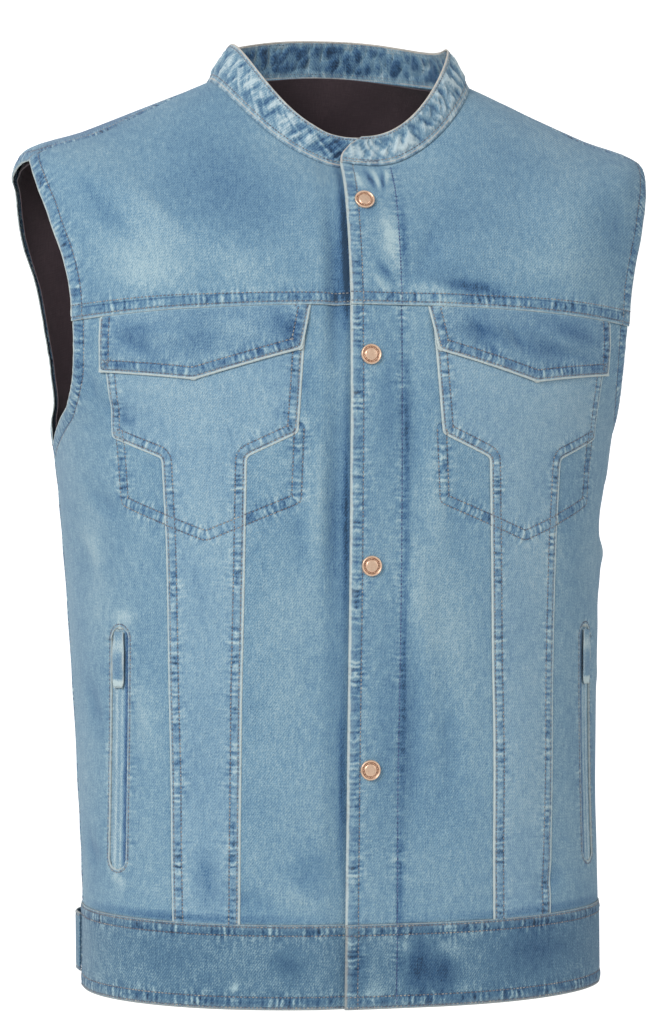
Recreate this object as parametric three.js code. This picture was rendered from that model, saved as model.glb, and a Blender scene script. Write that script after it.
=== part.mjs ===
import * as THREE from "three";

// A sleeveless denim vest in its worn, open form, in millimetres. +X is the wearer's left, the front
// faces -Y and +Z is up. The origin lies midway between the two high points of the shoulders, where
// the collar meets them.
//
// The body is one smooth tubular form. A place on it has two cloth coordinates: the level, which is
// the height of its ring at centre front, and s, the length along that ring from centre front,
// positive towards the wearer's left. Every seam is drawn in these two, as on a pattern.

// Cloth
const DENIM = 1.2;
const LAPPED = 2.0;
const LINING = 1.1;
const SEAM_GAP = 0.3;
const LAYER_GAP = 0.7;

// Levels of the seams that run round the body
const NECK_SEAM = -74;
const SHOULDER_TIP = -140;
const YOKE_SEAM = -178;
const UNDERARM = -271;
const CROSSBAR = -288;
const BAND_SEAM = -627;
const HEM = -689;

// Front closure: the left front laps over the right
const LEFT_EDGE_TOP = -14;
const LEFT_EDGE_HEM = -18.5;
const UNDERLAP = 19;
const UNDERLAP_STEP_START = 38;
const UNDERLAP_STEP_END = 21;
const EDGE_LIFT = 1.5;
const EDGE_LIFT_WIDTH = 34;

// Rings of the worn form. Roundness is the power of the ring's curve: 2 is an ellipse.
const SECTIONS = table(
  ["level", "sideZ", "backZ", "halfWidth", "sideY", "frontY", "backY", "frontRound", "backRound"],
  [
    [NECK_SEAM, -2, 12, 97, 20, -66, 86, 2.2, 2.0],
    [-94, -20, -14, 143, 29, -86, 106, 2.1, 2.1],
    [-117, -40, -42, 193, 38, -98, 121, 2.2, 2.2],
    [-138, -58, -78, 240, 46, -106, 131, 2.3, 2.3],
    [-156, -112, -120, 250, 46, -111, 138, 2.4, 2.4],
    [YOKE_SEAM, -192, -180, 240, 46, -115, 142, 2.5, 2.4],
    [-268, -272, -268, 214, 50, -121, 142, 2.5, 2.4],
    [-350, -350, -350, 206, 50, -121, 136, 2.5, 2.4],
    [-450, -450, -450, 200, 38, -118, 124, 2.5, 2.4],
    [-550, -550, -550, 196, 18, -115, 116, 2.5, 2.4],
    [BAND_SEAM, -622, -624, 195, 4, -114, 114, 2.5, 2.4],
    [HEM, -684, -686, 195, 0, -112, 114, 2.5, 2.4],
  ],
);

// The collar band's top edge, on the same terms
const COLLAR_TOP = {
  frontZ: -50,
  sideZ: 27,
  backZ: 41,
  halfWidth: 82,
  sideY: 17,
  frontY: -63,
  backY: 80,
  frontRound: 2.3,
  backRound: 2.5,
};

// Seams that run down the body, s by level
const SHOULDER_SEAM = curve(["level", "s"], [
  [NECK_SEAM, 159],
  [-94, 199],
  [-117, 241],
  [SHOULDER_TIP, 291],
]);
const FRONT_ARMHOLE = curve(["level", "s"], [
  [SHOULDER_TIP, 291],
  [-151, 253],
  [-161, 233],
  [-169, 224.5],
  [YOKE_SEAM, 226],
  [-193, 228.5],
  [-212, 234],
  [-225, 241],
  [-239, 251],
  [-256, 280],
  [UNDERARM, 316],
]);
const SIDE_SEAM = curve(["level", "s"], [
  [UNDERARM, 316],
  [-350, 309],
  [-450, 292],
  [-550, 271],
  [BAND_SEAM, 259],
  [HEM, 255],
]);
// The back armhole is measured from centre back
const BACK_ARMHOLE = curve(["level", "fromCentreBack"], [
  [SHOULDER_TIP, 321],
  [-142, 303],
  [-144, 285],
  [-145.5, 270],
  [-147, 258],
  [-159, 246],
  [-166, 232],
  [-174, 227],
  [-193, 223],
  [-225, 223],
  [-239, 227],
  [-256, 240],
  [UNDERARM, 256],
]);
const POCKET_OUTER_EDGE = curve(["level", "s"], [
  [YOKE_SEAM, 199],
  [UNDERARM, 197],
  [CROSSBAR, 154],
  [-348, 151],
  [-465, 148],
  [BAND_SEAM, 144],
]);
const POCKET_INNER_EDGE = curve(["level", "s"], [
  [YOKE_SEAM, 46],
  [UNDERARM, 53],
  [CROSSBAR, 90],
  [-465, 93],
  [BAND_SEAM, 94],
]);

// Chest pocket flap and the bag behind the pocket front
const FLAP = { innerTop: 43, outerTop: 200, innerCorner: 50, outerCorner: 203 };
const FLAP_BOTTOM = curve(["s", "level"], [
  [FLAP.innerCorner, -210],
  [128, -229],
  [FLAP.outerCorner, -213],
]);
const BAG = { inner: 50, outer: 191, top: -184 };
const BAG_BOTTOM = curve(["s", "level"], [
  [BAG.inner, -321],
  [120, -349],
  [BAG.outer, -322],
]);

// Side pocket opening, its welt and its cloth zip pull
const SLOT = { top: -413, bottom: -592, near: 184.5, far: 201.5 };
const PULL = { top: -416, bottom: -457, halfWidth: 6, halfTop: 5 };

// Snap fasteners on the front, and the tabs on the hem band
const SNAP_LEVELS = [-102, -214, -367, -515];
const SNAP = { radius: 7.5, rim: 0.9, crown: 2.2, dish: 1.4, segments: 16 };
const TAB = { top: -634, bottom: -678, start: 262, end: 344, point: 352, snapFromPoint: 17 };

// Rows shared by every piece that meets at a seam
const SHOULDER_ROWS = [-84, -94, -105, -117, -129];
const YOKE_TIP_ROWS = [SHOULDER_TIP, -145, -151, -156, -161, -169];
const BACK_TIP_ROWS = [SHOULDER_TIP, -142, -144, -145.5, -147, -152, -159, -166, -174, -183];
const CHEST_ROWS = [-193, -212, -225, -239, -256];
const LOWER_ROWS = [
  UNDERARM, -277, -283, CROSSBAR, -318, -348, -380, SLOT.top, -458, -503, -548, SLOT.bottom,
];
const BAND_ROWS = [-648, -669];
const LINING_SHOULDER_ROWS = [-94, -117];
const LINING_LOWER_ROWS = [
  -193, -225, -256, UNDERARM, CROSSBAR, -348, SLOT.top, -458, -503, -548, SLOT.bottom,
];

// Large soft folds: a ridge, or a trough where the height is negative, from one place to another.
const FOLDS = table(
  ["s0", "level0", "s1", "level1", "width", "height"],
  [
    [-205, -160, -95, -250, 30, 3.2],
    [-150, -165, -70, -215, 22, -2.4],
    [120, -120, 205, -172, 28, 2.6],
    [-215, -300, -262, -420, 34, -4.0],
    [250, -300, 262, -365, 24, -5.5],
    [292, -330, 285, -420, 26, 1.5],
    [262, -430, 296, -470, 24, -5.0],
    [285, -505, 262, -590, 28, -3.6],
    [-260, -470, -282, -590, 30, 0.6],
    [20, -470, 60, -610, 26, -2.8],
    [-60, -470, -28, -600, 26, 2.8],
    [110, -430, 118, -600, 30, 2.6],
    [-118, -450, -125, -590, 28, -2.4],
    [420, -200, 395, -420, 32, 4.0],
    [-410, -215, -385, -400, 34, 4.2],
    [470, -230, 440, -520, 30, -3.4],
    [-455, -250, -430, -560, 30, -3.6],
    [500, -480, 480, -615, 28, 3.6],
    [-495, -430, -470, -600, 30, 3.4],
    [360, -470, 350, -600, 28, -3.4],
    [-350, -440, -345, -590, 28, -3.2],
  ],
);

const FINISHES = {
  denim: { color: 0x7799ae, roughness: 0.88, metalness: 0 },
  denimPocket: { color: 0x81a3b8, roughness: 0.88, metalness: 0 },
  denimBand: { color: 0x5f849d, roughness: 0.88, metalness: 0 },
  denimCollar: { color: 0x8fafc2, roughness: 0.88, metalness: 0 },
  lining: { color: 0x342b2f, roughness: 0.75, metalness: 0 },
  copper: { color: 0xd2b59a, roughness: 0.35, metalness: 1 },
};

// Rows of numbers become rows with named columns.
function table(columns, rows) {
  return rows.map((row) => Object.fromEntries(columns.map((name, k) => [name, row[k]])));
}

// A line through the rows of a two-column table, read at any value of the first column.
function curve(columns, rows) {
  const [along, across] = columns;
  const knots = table(columns, rows).sort((a, b) => a[along] - b[along]);
  return (at) => {
    const last = knots.length - 1;
    const found = knots.findIndex((knot) => knot[along] >= at);
    const k = Math.min(Math.max(found < 0 ? last : found, 1), last);
    const a = knots[k - 1];
    const b = knots[k];
    const t = THREE.MathUtils.clamp((at - a[along]) / (b[along] - a[along]), 0, 1);
    return THREE.MathUtils.lerp(a[across], b[across], t);
  };
}

// Values from a to b in equal steps, ends included.
function spread(a, b, steps) {
  return Array.from({ length: steps + 1 }, (_, k) => THREE.MathUtils.lerp(a, b, k / steps));
}

// A smooth curve through one column of SECTIONS that never overshoots its rows.
function smoothColumn(name) {
  const rows = [...SECTIONS].reverse();
  const x = rows.map((row) => row.level);
  const y = rows.map((row) => row[name]);
  const last = x.length - 1;
  const step = x.slice(1).map((value, k) => value - x[k]);
  const slope = step.map((h, k) => (y[k + 1] - y[k]) / h);
  const tangent = x.map((_, k) => {
    if (k === 0) return slope[0];
    if (k === last) return slope[last - 1];
    if (slope[k - 1] * slope[k] <= 0) return 0;
    const before = 2 * step[k] + step[k - 1];
    const after = step[k] + 2 * step[k - 1];
    return (before + after) / (before / slope[k - 1] + after / slope[k]);
  });
  return (level) => {
    const found = x.findIndex((value) => value >= level);
    const k = Math.min(Math.max((found < 0 ? last : found) - 1, 0), last - 1);
    const t = (level - x[k]) / step[k];
    const t2 = t * t;
    const t3 = t2 * t;
    return (
      (2 * t3 - 3 * t2 + 1) * y[k] +
      (t3 - 2 * t2 + t) * step[k] * tangent[k] +
      (3 * t2 - 2 * t3) * y[k + 1] +
      (t3 - t2) * step[k] * tangent[k + 1]
    );
  };
}

// One point of a ring. The angle is 0 at centre front, a quarter turn at the side, a half at the back.
function ringPoint(ring, angle) {
  const front = angle <= Math.PI / 2;
  const sine = Math.sin(angle);
  const cosine = Math.abs(Math.cos(angle));
  const power = 2 / (front ? ring.frontRound : ring.backRound);
  const endY = front ? ring.frontY : ring.backY;
  const endZ = front ? ring.frontZ : ring.backZ;
  return new THREE.Vector3(
    ring.halfWidth * sine ** power,
    ring.sideY + (endY - ring.sideY) * cosine ** power,
    ring.sideZ + (endZ - ring.sideZ) * cosine ** 2,
  );
}

// Half a ring as points at equal lengths from centre front to centre back.
function halfRing(ring, steps) {
  const samples = 3 * steps;
  const points = spread(0, Math.PI, samples).map((angle) => ringPoint(ring, angle));
  const lengths = [0];
  for (let k = 1; k <= samples; k += 1) {
    lengths.push(lengths[k - 1] + points[k].distanceTo(points[k - 1]));
  }
  const total = lengths[samples];
  let k = 1;
  const even = spread(0, total, steps).map((length) => {
    while (k < samples && lengths[k] < length) k += 1;
    const t = (length - lengths[k - 1]) / (lengths[k] - lengths[k - 1]);
    return points[k - 1].clone().lerp(points[k], THREE.MathUtils.clamp(t, 0, 1));
  });
  return { total, even };
}

// The half rings of the body, one every few millimetres of level.
const RING_STEPS = 300;
const LEVEL_STEP = 2;
const LOWEST_RING = HEM - 5;
const bodyRings = (() => {
  const columns = Object.keys(SECTIONS[0]).filter((name) => name !== "level");
  const smooth = Object.fromEntries(columns.map((name) => [name, smoothColumn(name)]));
  const count = Math.ceil((NECK_SEAM + LEVEL_STEP - LOWEST_RING) / LEVEL_STEP);
  return spread(0, count, count).map((k) => {
    const level = LOWEST_RING + k * LEVEL_STEP;
    const ring = Object.fromEntries(columns.map((name) => [name, smooth[name](level)]));
    return halfRing({ ...ring, frontZ: level }, RING_STEPS);
  });
})();

function ringAt(level) {
  const place = THREE.MathUtils.clamp((level - LOWEST_RING) / LEVEL_STEP, 0, bodyRings.length - 1.001);
  const k = Math.floor(place);
  return { low: bodyRings[k], high: bodyRings[k + 1], t: place - k };
}

// Length from centre front to centre back along the ring at a level.
function halfGirth(level) {
  const { low, high, t } = ringAt(level);
  return THREE.MathUtils.lerp(low.total, high.total, t);
}

// The point of a half ring that is a fraction of its length from centre front; the other side is
// its mirror image.
function alongHalf(half, fraction) {
  const place = Math.abs(fraction) * RING_STEPS;
  const k = Math.min(Math.floor(place), RING_STEPS - 1);
  const point = half.even[k].clone().lerp(half.even[k + 1], place - k);
  if (fraction < 0) point.x = -point.x;
  return point;
}

function wrap(s, half) {
  return s / half - 2 * Math.round(s / half / 2);
}

function onRing(fraction, level) {
  const { low, high, t } = ringAt(level);
  const near = wrap(fraction, 1);
  return alongHalf(low, near).lerp(alongHalf(high, near), t);
}

const NORMAL_REACH = 4;

function formNormal(s, level) {
  const half = halfGirth(level);
  const fraction = s / half;
  const reach = NORMAL_REACH / half;
  const along = onRing(fraction + reach, level).sub(onRing(fraction - reach, level));
  const up = Math.min(level + NORMAL_REACH, NECK_SEAM);
  const upwards = onRing(fraction, up).sub(onRing(fraction, up - 2 * NORMAL_REACH));
  return along.cross(upwards).normalize();
}

// How far the folds lift the cloth off the smooth form. Each fold fades towards its two ends.
function foldHeight(s, level) {
  const half = halfGirth(level);
  const here = wrap(s, half) * half;
  return FOLDS.reduce((sum, fold) => {
    const alongS = fold.s1 - fold.s0;
    const alongLevel = fold.level1 - fold.level0;
    const length = Math.hypot(alongS, alongLevel);
    const place =
      ((here - fold.s0) * alongS + (level - fold.level0) * alongLevel) / (length * length);
    const aside = ((here - fold.s0) * alongLevel - (level - fold.level0) * alongS) / length;
    if (place <= 0 || place >= 1) return sum;
    const fade = Math.sin(Math.PI * place) ** 2;
    return sum + fold.height * fade * Math.exp(-((aside / fold.width) ** 2));
  }, 0);
}

// A place on the cloth, moved out from the folded form by a distance.
function onCloth(s, level, out) {
  const distance = out + foldHeight(s, level);
  return onRing(s / halfGirth(level), level).addScaledVector(formNormal(s, level), distance);
}

// A closed wall of cloth from a grid of outer and inner points. Rows run down, and the points of a
// row run towards the wearer's left. Cells that skip names are left open.
function clothWall(outer, inner, skip = () => false) {
  const columns = outer[0].length;
  const count = outer.length * columns;
  const positions = [...outer.flat(), ...inner.flat()].flatMap((p) => [p.x, p.y, p.z]);
  const skin = [];
  for (let i = 0; i < outer.length - 1; i += 1) {
    for (let j = 0; j < columns - 1; j += 1) {
      if (skip(i, j)) continue;
      const a = i * columns + j;
      const [b, c, d] = [a + 1, a + columns + 1, a + columns];
      const falling = outer[i][j].distanceTo(outer[i + 1][j + 1]);
      const rising = outer[i][j + 1].distanceTo(outer[i + 1][j]);
      if (falling < rising) skin.push([a, d, c], [a, c, b]);
      else skin.push([a, d, b], [d, c, b]);
    }
  }
  const edges = new Set();
  for (const [a, b, c] of skin) edges.add(`${a} ${b}`).add(`${b} ${c}`).add(`${c} ${a}`);
  const triangles = [];
  for (const [a, b, c] of skin) {
    triangles.push([a, b, c], [a + count, c + count, b + count]);
    for (const [from, to] of [[a, b], [b, c], [c, a]]) {
      if (edges.has(`${to} ${from}`)) continue;
      triangles.push([to, from, from + count], [to, from + count, to + count]);
    }
  }
  const geometry = new THREE.BufferGeometry();
  geometry.setAttribute("position", new THREE.Float32BufferAttribute(positions, 3));
  geometry.setIndex(triangles.flat());
  geometry.computeVertexNormals();
  return geometry;
}

function piece(name, geometry, finish) {
  const mesh = new THREE.Mesh(geometry, new THREE.MeshStandardMaterial(FINISHES[finish]));
  mesh.name = name;
  return mesh;
}

// A flat pattern wrapped on the form. Each row is a level with its places along it, and inner and
// outer give the wall's two faces. A piece of the right side is the left one turned over.
function cutPiece({ rows, side = 1, inner, outer, skip }) {
  const turned = rows.map(({ level, places }) => {
    const points = places.map((s) => ({ s, at: typeof level === "number" ? level : level(s) }));
    return side > 0 ? points : points.reverse();
  });
  const face = (out) =>
    turned.map((row) => row.map(({ s, at }) => onCloth(side * s, at, out(s, at))));
  const last = turned[0].length - 2;
  const turnedSkip = skip && ((i, j) => skip(i, side > 0 ? j : last - j));
  return clothWall(face(outer), face(inner), turnedSkip);
}

const HALF_GAP = SEAM_GAP / 2;
const STEEPEST = 3;

// A seam's own edge on one of its two pieces, half the seam's gap away from it.
function beside(seam, direction) {
  return (level) => {
    const slope = THREE.MathUtils.clamp(seam(level + 1) - seam(level - 1), -2 * STEEPEST, 2 * STEEPEST);
    return seam(level) + direction * HALF_GAP * Math.hypot(1, slope / 2);
  };
}

// Rows between two seams that run round the body, with half a gap left at each.
function rowsOf(top, levels, bottom, placesAt) {
  return [top - HALF_GAP, ...levels, bottom + HALF_GAP].map((level) => ({
    level,
    places: placesAt(level),
  }));
}

const flat = (distance) => () => distance;

// How far the left front stands off near its edge.
function edgeLift(s) {
  return EDGE_LIFT * (1 - THREE.MathUtils.smoothstep(s, LEFT_EDGE_TOP, EDGE_LIFT_WIDTH));
}

// The right front steps in under the left one near its edge.
function frontFaces(side, thickness) {
  const under = (s) => 1 - THREE.MathUtils.smoothstep(s, UNDERLAP_STEP_END, UNDERLAP_STEP_START);
  if (side > 0) return { inner: edgeLift, outer: (s) => thickness + edgeLift(s) };
  const depth = DENIM + LAYER_GAP;
  return {
    inner: (s) => -depth * under(s),
    outer: (s) => THREE.MathUtils.lerp(thickness, -LAYER_GAP, under(s)),
  };
}

function frontEdge(side) {
  if (side < 0) return flat(-UNDERLAP);
  return (level) => THREE.MathUtils.mapLinear(level, NECK_SEAM, HEM, LEFT_EDGE_TOP, LEFT_EDGE_HEM);
}

// Extra places keep the step under the closure crisp.
function fromFrontEdge(side, level, end, steps) {
  const start = frontEdge(side)(level);
  return [start, ...spread(UNDERLAP_STEP_END, end, steps)];
}

function outerOfYoke(level) {
  const seam = level > SHOULDER_TIP ? SHOULDER_SEAM : FRONT_ARMHOLE;
  return level > SHOULDER_TIP ? beside(seam, -1)(level) : seam(level);
}

function yokeFront(side) {
  const rows = rowsOf(NECK_SEAM, [...SHOULDER_ROWS, ...YOKE_TIP_ROWS], YOKE_SEAM, (level) => [
    frontEdge(side)(level),
    UNDERLAP_STEP_END,
    UNDERLAP_STEP_START,
    ...spread(UNDERLAP_STEP_START, outerOfYoke(level), 9).slice(1),
  ]);
  return cutPiece({ rows, side, ...frontFaces(side, LAPPED) });
}

function centreFront(side) {
  const end = beside(POCKET_INNER_EDGE, -1);
  const rows = rowsOf(YOKE_SEAM, [...CHEST_ROWS, ...LOWER_ROWS], BAND_SEAM, (level) =>
    fromFrontEdge(side, level, end(level), 3),
  );
  return cutPiece({ rows, side, ...frontFaces(side, DENIM) });
}

function pocketFront(side) {
  const start = beside(POCKET_INNER_EDGE, 1);
  const end = beside(POCKET_OUTER_EDGE, -1);
  const rows = rowsOf(YOKE_SEAM, [...CHEST_ROWS, ...LOWER_ROWS], BAND_SEAM, (level) =>
    spread(start(level), end(level), 6),
  );
  return cutPiece({ rows, side, inner: flat(0), outer: flat(LAPPED) });
}

// The side front holds the opening of the side pocket.
function sideFront(side) {
  const start = beside(POCKET_OUTER_EDGE, 1);
  const sideEdge = beside(SIDE_SEAM, -1);
  const slotShare = curve(["level", "share"], [
    [YOKE_SEAM, 0],
    [UNDERARM, 0],
    [-348, 1],
  ]);
  const rows = rowsOf(YOKE_SEAM, [...CHEST_ROWS, ...LOWER_ROWS], BAND_SEAM, (level) => {
    const end = level > UNDERARM ? FRONT_ARMHOLE(level) : sideEdge(level);
    const share = slotShare(level);
    const near = THREE.MathUtils.lerp(start(level) + (end - start(level)) / 8, SLOT.near, share);
    const far = THREE.MathUtils.lerp(start(level) + (end - start(level)) / 4, SLOT.far, share);
    const middle = (start(level) + near) / 2;
    return [start(level), middle, near, ...spread(far, end, 6)];
  });
  const slotColumn = 2;
  const topRow = rows.findIndex((row) => row.level === SLOT.top);
  const bottomRow = rows.findIndex((row) => row.level === SLOT.bottom);
  const skip = (i, j) => j === slotColumn && i >= topRow && i < bottomRow;
  return cutPiece({ rows, side, inner: flat(0), outer: flat(DENIM), skip });
}

// Two lips that meet in the middle of the side pocket's opening.
function sideWelt(side) {
  const middle = (SLOT.near + SLOT.far) / 2;
  const lips = [SLOT.near + SEAM_GAP, (SLOT.near + middle) / 2, middle, (middle + SLOT.far) / 2];
  const places = [...lips, SLOT.far - SEAM_GAP];
  const levels = [-440, -465, -500, -530, -560];
  const rows = rowsOf(SLOT.top - HALF_GAP, levels, SLOT.bottom + HALF_GAP, () => places);
  const groove = 0.8;
  const grooveWidth = 3;
  const outer = (s) => DENIM - 0.2 - groove * Math.exp(-(((s - middle) / grooveWidth) ** 2));
  return cutPiece({ rows, side, inner: flat(-DENIM), outer });
}

function zipPull(side) {
  const middle = (SLOT.near + SLOT.far) / 2;
  const levels = spread(PULL.top, PULL.bottom, 3);
  const rows = levels.map((level) => {
    const half = THREE.MathUtils.mapLinear(level, PULL.top, PULL.bottom, PULL.halfTop, PULL.halfWidth);
    return { level, places: spread(middle - half, middle + half, 2) };
  });
  const lowest = DENIM + LAYER_GAP;
  return cutPiece({ rows, side, inner: flat(lowest), outer: flat(lowest + DENIM) });
}

// A shaped piece between a straight top and a bottom line drawn by place.
function shapedPiece({ side, top, bottom, start, end, steps, depthSteps, inner, outer }) {
  const rows = spread(0, 1, depthSteps).map((down) => ({
    level: (s) => THREE.MathUtils.lerp(top, bottom(s), down),
    places: spread(start(down), end(down), steps),
  }));
  return cutPiece({ rows, side, inner: flat(inner), outer: flat(outer) });
}

function pocketFlap(side) {
  return shapedPiece({
    side,
    top: YOKE_SEAM - SEAM_GAP,
    bottom: FLAP_BOTTOM,
    start: (down) => THREE.MathUtils.lerp(FLAP.innerTop, FLAP.innerCorner, down),
    end: (down) => THREE.MathUtils.lerp(FLAP.outerTop, FLAP.outerCorner, down),
    steps: 10,
    depthSteps: 3,
    inner: LAPPED + LAYER_GAP,
    outer: LAPPED + LAYER_GAP + DENIM,
  });
}

function pocketBag(side) {
  return shapedPiece({
    side,
    top: BAG.top,
    bottom: BAG_BOTTOM,
    start: flat(BAG.inner),
    end: flat(BAG.outer),
    steps: 8,
    depthSteps: 6,
    inner: -LAYER_GAP - 1,
    outer: -LAYER_GAP,
  });
}

// The back wraps forward over the shoulders to the front shoulder seams.
function backReach(level) {
  if (level > SHOULDER_TIP) return halfGirth(level) - beside(SHOULDER_SEAM, 1)(level);
  if (level > UNDERARM) return BACK_ARMHOLE(level);
  return halfGirth(level) - beside(SIDE_SEAM, 1)(level);
}

function backRows(top, levels, bottom, reach, steps) {
  return rowsOf(top, levels, bottom, (level) =>
    spread(reach(level), -reach(level), steps).map((t) => halfGirth(level) - t),
  );
}

function backPanel() {
  const levels = [...SHOULDER_ROWS, ...BACK_TIP_ROWS, ...CHEST_ROWS, ...LOWER_ROWS];
  const rows = backRows(NECK_SEAM, levels, BAND_SEAM, backReach, 24);
  return cutPiece({ rows, inner: flat(0), outer: flat(DENIM) });
}

const LINING_INSET = 4;
const LINING_OUT = -3;

function backLining() {
  const reach = (level) => backReach(level) - (level <= SHOULDER_TIP && level > UNDERARM ? LINING_INSET : 0);
  const tipRows = [SHOULDER_TIP, -144, -147, -159, -174];
  const levels = [...LINING_SHOULDER_ROWS, ...tipRows, ...LINING_LOWER_ROWS];
  const rows = backRows(NECK_SEAM - LINING_INSET, levels, BAND_SEAM, reach, 14);
  return cutPiece({ rows, inner: flat(LINING_OUT - LINING), outer: flat(LINING_OUT) });
}

const LINING_FRONT_EDGE = 50;

function frontLining(side) {
  const sideEdge = beside(SIDE_SEAM, -1);
  const end = (level) => {
    if (level > SHOULDER_TIP) return outerOfYoke(level);
    return level > UNDERARM ? FRONT_ARMHOLE(level) - LINING_INSET : sideEdge(level);
  };
  const tipRows = [SHOULDER_TIP, -151, -161, -169, YOKE_SEAM];
  const levels = [...LINING_SHOULDER_ROWS, ...tipRows, ...LINING_LOWER_ROWS];
  const rows = rowsOf(NECK_SEAM - LINING_INSET, levels, BAND_SEAM, (level) =>
    spread(LINING_FRONT_EDGE, end(level), 6),
  );
  return cutPiece({ rows, side, inner: flat(LINING_OUT - LINING), outer: flat(LINING_OUT) });
}

function bandFront(side) {
  const end = beside(SIDE_SEAM, -1);
  const rows = rowsOf(BAND_SEAM, BAND_ROWS, HEM - HALF_GAP, (level) => [
    frontEdge(side)(level),
    UNDERLAP_STEP_END,
    UNDERLAP_STEP_START,
    ...spread(UNDERLAP_STEP_START, end(level), 10).slice(1),
  ]);
  return cutPiece({ rows, side, ...frontFaces(side, LAPPED) });
}

function bandBack() {
  const reach = (level) => halfGirth(level) - beside(SIDE_SEAM, 1)(level);
  const rows = backRows(BAND_SEAM, BAND_ROWS, HEM - HALF_GAP, reach, 26);
  return cutPiece({ rows, inner: flat(0), outer: flat(LAPPED) });
}

const TAB_OUT = LAPPED + LAYER_GAP;
const TAB_THICKNESS = 1.6;

function waistTab(side) {
  const middle = (TAB.top + TAB.bottom) / 2;
  const rows = spread(TAB.top, TAB.bottom, 4).map((level) => {
    const fromMiddle = Math.abs(level - middle) / (TAB.top - middle);
    const end = THREE.MathUtils.lerp(TAB.point, TAB.end, fromMiddle);
    return { level, places: spread(TAB.start, end, 7) };
  });
  return cutPiece({ rows, side, inner: flat(TAB_OUT), outer: flat(TAB_OUT + TAB_THICKNESS) });
}

// The collar band stands on the neck seam and leans in to its own top edge. It starts at the left
// front's edge, runs round the back of the neck and ends under its own start.
const COLLAR_ROWS = 3;
const COLLAR_SLANT = 18;
const SLANT_END = 20;
const SEAT_BLEND = 30;

function collarBand() {
  const top = halfRing(COLLAR_TOP, RING_STEPS);
  const half = halfGirth(NECK_SEAM);
  const start = LEFT_EDGE_TOP;
  const underStart = 2 * half - UNDERLAP_STEP_START;
  const underEnd = 2 * half - UNDERLAP_STEP_END;
  const end = 2 * half + UNDERLAP;
  const slantedEnd = spread(start, SLANT_END, 3).slice(0, -1);
  const places = [...slantedEnd, ...spread(SLANT_END, underStart, 34), underEnd, end];
  const depth = LAPPED + LAYER_GAP;
  // The band sits a little higher on the doubled yokes than on the single cloth of the back.
  const seat = (s) => {
    const shoulder = SHOULDER_SEAM(NECK_SEAM);
    const fromFront = Math.abs(wrap(s, half)) * half;
    const onBack = THREE.MathUtils.smoothstep(fromFront, shoulder, shoulder + SEAT_BLEND);
    return THREE.MathUtils.lerp(LAPPED, DENIM, onBack) + 2 * SEAM_GAP;
  };
  const middleLine = (s, up) => {
    const slanted = s + COLLAR_SLANT * up ** 2 * (1 - THREE.MathUtils.smoothstep(s, start, SLANT_END));
    const foot = onCloth(slanted, NECK_SEAM, seat(s) + edgeLift(s));
    const head = alongHalf(top, wrap(slanted, half));
    return foot.lerp(head, up);
  };
  const reach = 3;
  const face = (out) =>
    spread(1, 0, COLLAR_ROWS).map((up) =>
      places.map((s) => {
        const along = middleLine(s + reach, up).sub(middleLine(s - reach, up));
        const upwards = middleLine(s, 1).sub(middleLine(s, 0));
        const outwards = along.cross(upwards).normalize();
        const under = THREE.MathUtils.smoothstep(s, underStart, underEnd);
        return middleLine(s, up).addScaledVector(outwards, out - depth * under);
      }),
    );
  return clothWall(face(LAPPED), face(0));
}

// A domed snap cap with a raised rim and a dished middle, its axis along Y.
function snapCap() {
  const profile = [
    [0, 0],
    [SNAP.radius, 0],
    [SNAP.radius, SNAP.rim],
    [SNAP.radius - 1, SNAP.crown],
    [SNAP.radius - 2.4, SNAP.crown],
    [SNAP.radius - 3, SNAP.dish],
    [0, SNAP.dish],
  ].map(([r, y]) => new THREE.Vector2(r, y));
  return new THREE.LatheGeometry(profile, SNAP.segments);
}

function snapAt(name, s, level, out) {
  const snap = piece(name, snapCap(), "copper");
  const axis = formNormal(s, level);
  snap.position.copy(onCloth(s, level, out));
  snap.quaternion.setFromUnitVectors(new THREE.Vector3(0, 1, 0), axis);
  return snap;
}

function group(...parts) {
  return new THREE.Group().add(...parts);
}

const SIDES = [
  { side: -1, label: "right" },
  { side: 1, label: "left" },
];

const fronts = SIDES.map(({ side, label }) =>
  group(
    piece(`yoke_front_${label}`, yokeFront(side), "denim"),
    piece(`centre_front_${label}`, centreFront(side), "denim"),
    piece(`pocket_front_${label}`, pocketFront(side), "denimPocket"),
    piece(`side_front_${label}`, sideFront(side), "denim"),
    piece(`pocket_flap_${label}`, pocketFlap(side), "denim"),
    piece(`pocket_bag_${label}`, pocketBag(side), "lining"),
    piece(`side_welt_${label}`, sideWelt(side), "denim"),
    piece(`zip_pull_${label}`, zipPull(side), "denimPocket"),
    piece(`lining_front_${label}`, frontLining(side), "lining"),
  ),
);

const back = group(
  piece("back_panel", backPanel(), "denim"),
  piece("lining_back", backLining(), "lining"),
);

const collar = group(piece("collar_band", collarBand(), "denimCollar"));

const hem = group(
  piece("band_back", bandBack(), "denimBand"),
  ...SIDES.flatMap(({ side, label }) => [
    piece(`band_front_${label}`, bandFront(side), "denimBand"),
    piece(`waist_tab_${label}`, waistTab(side), "denimBand"),
    snapAt(
      `tab_snap_${label}`,
      side * (TAB.point - TAB.snapFromPoint),
      (TAB.top + TAB.bottom) / 2,
      TAB_OUT + TAB_THICKNESS + SEAM_GAP,
    ),
  ]),
);

const closure = group(
  ...SNAP_LEVELS.map((level, k) => {
    const cloth = level > YOKE_SEAM ? LAPPED : DENIM;
    return snapAt(`snap_${k + 1}`, 0, level, cloth + edgeLift(0) + SEAM_GAP);
  }),
);

const vest = new THREE.Group();
vest.name = "vest";
vest.add(...fronts, back, collar, hem, closure);

export default vest;
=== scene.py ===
import math

import bmesh
import bpy
import numpy as np
from mathutils import Matrix, Vector, noise
from mathutils.bvhtree import BVHTree


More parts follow.
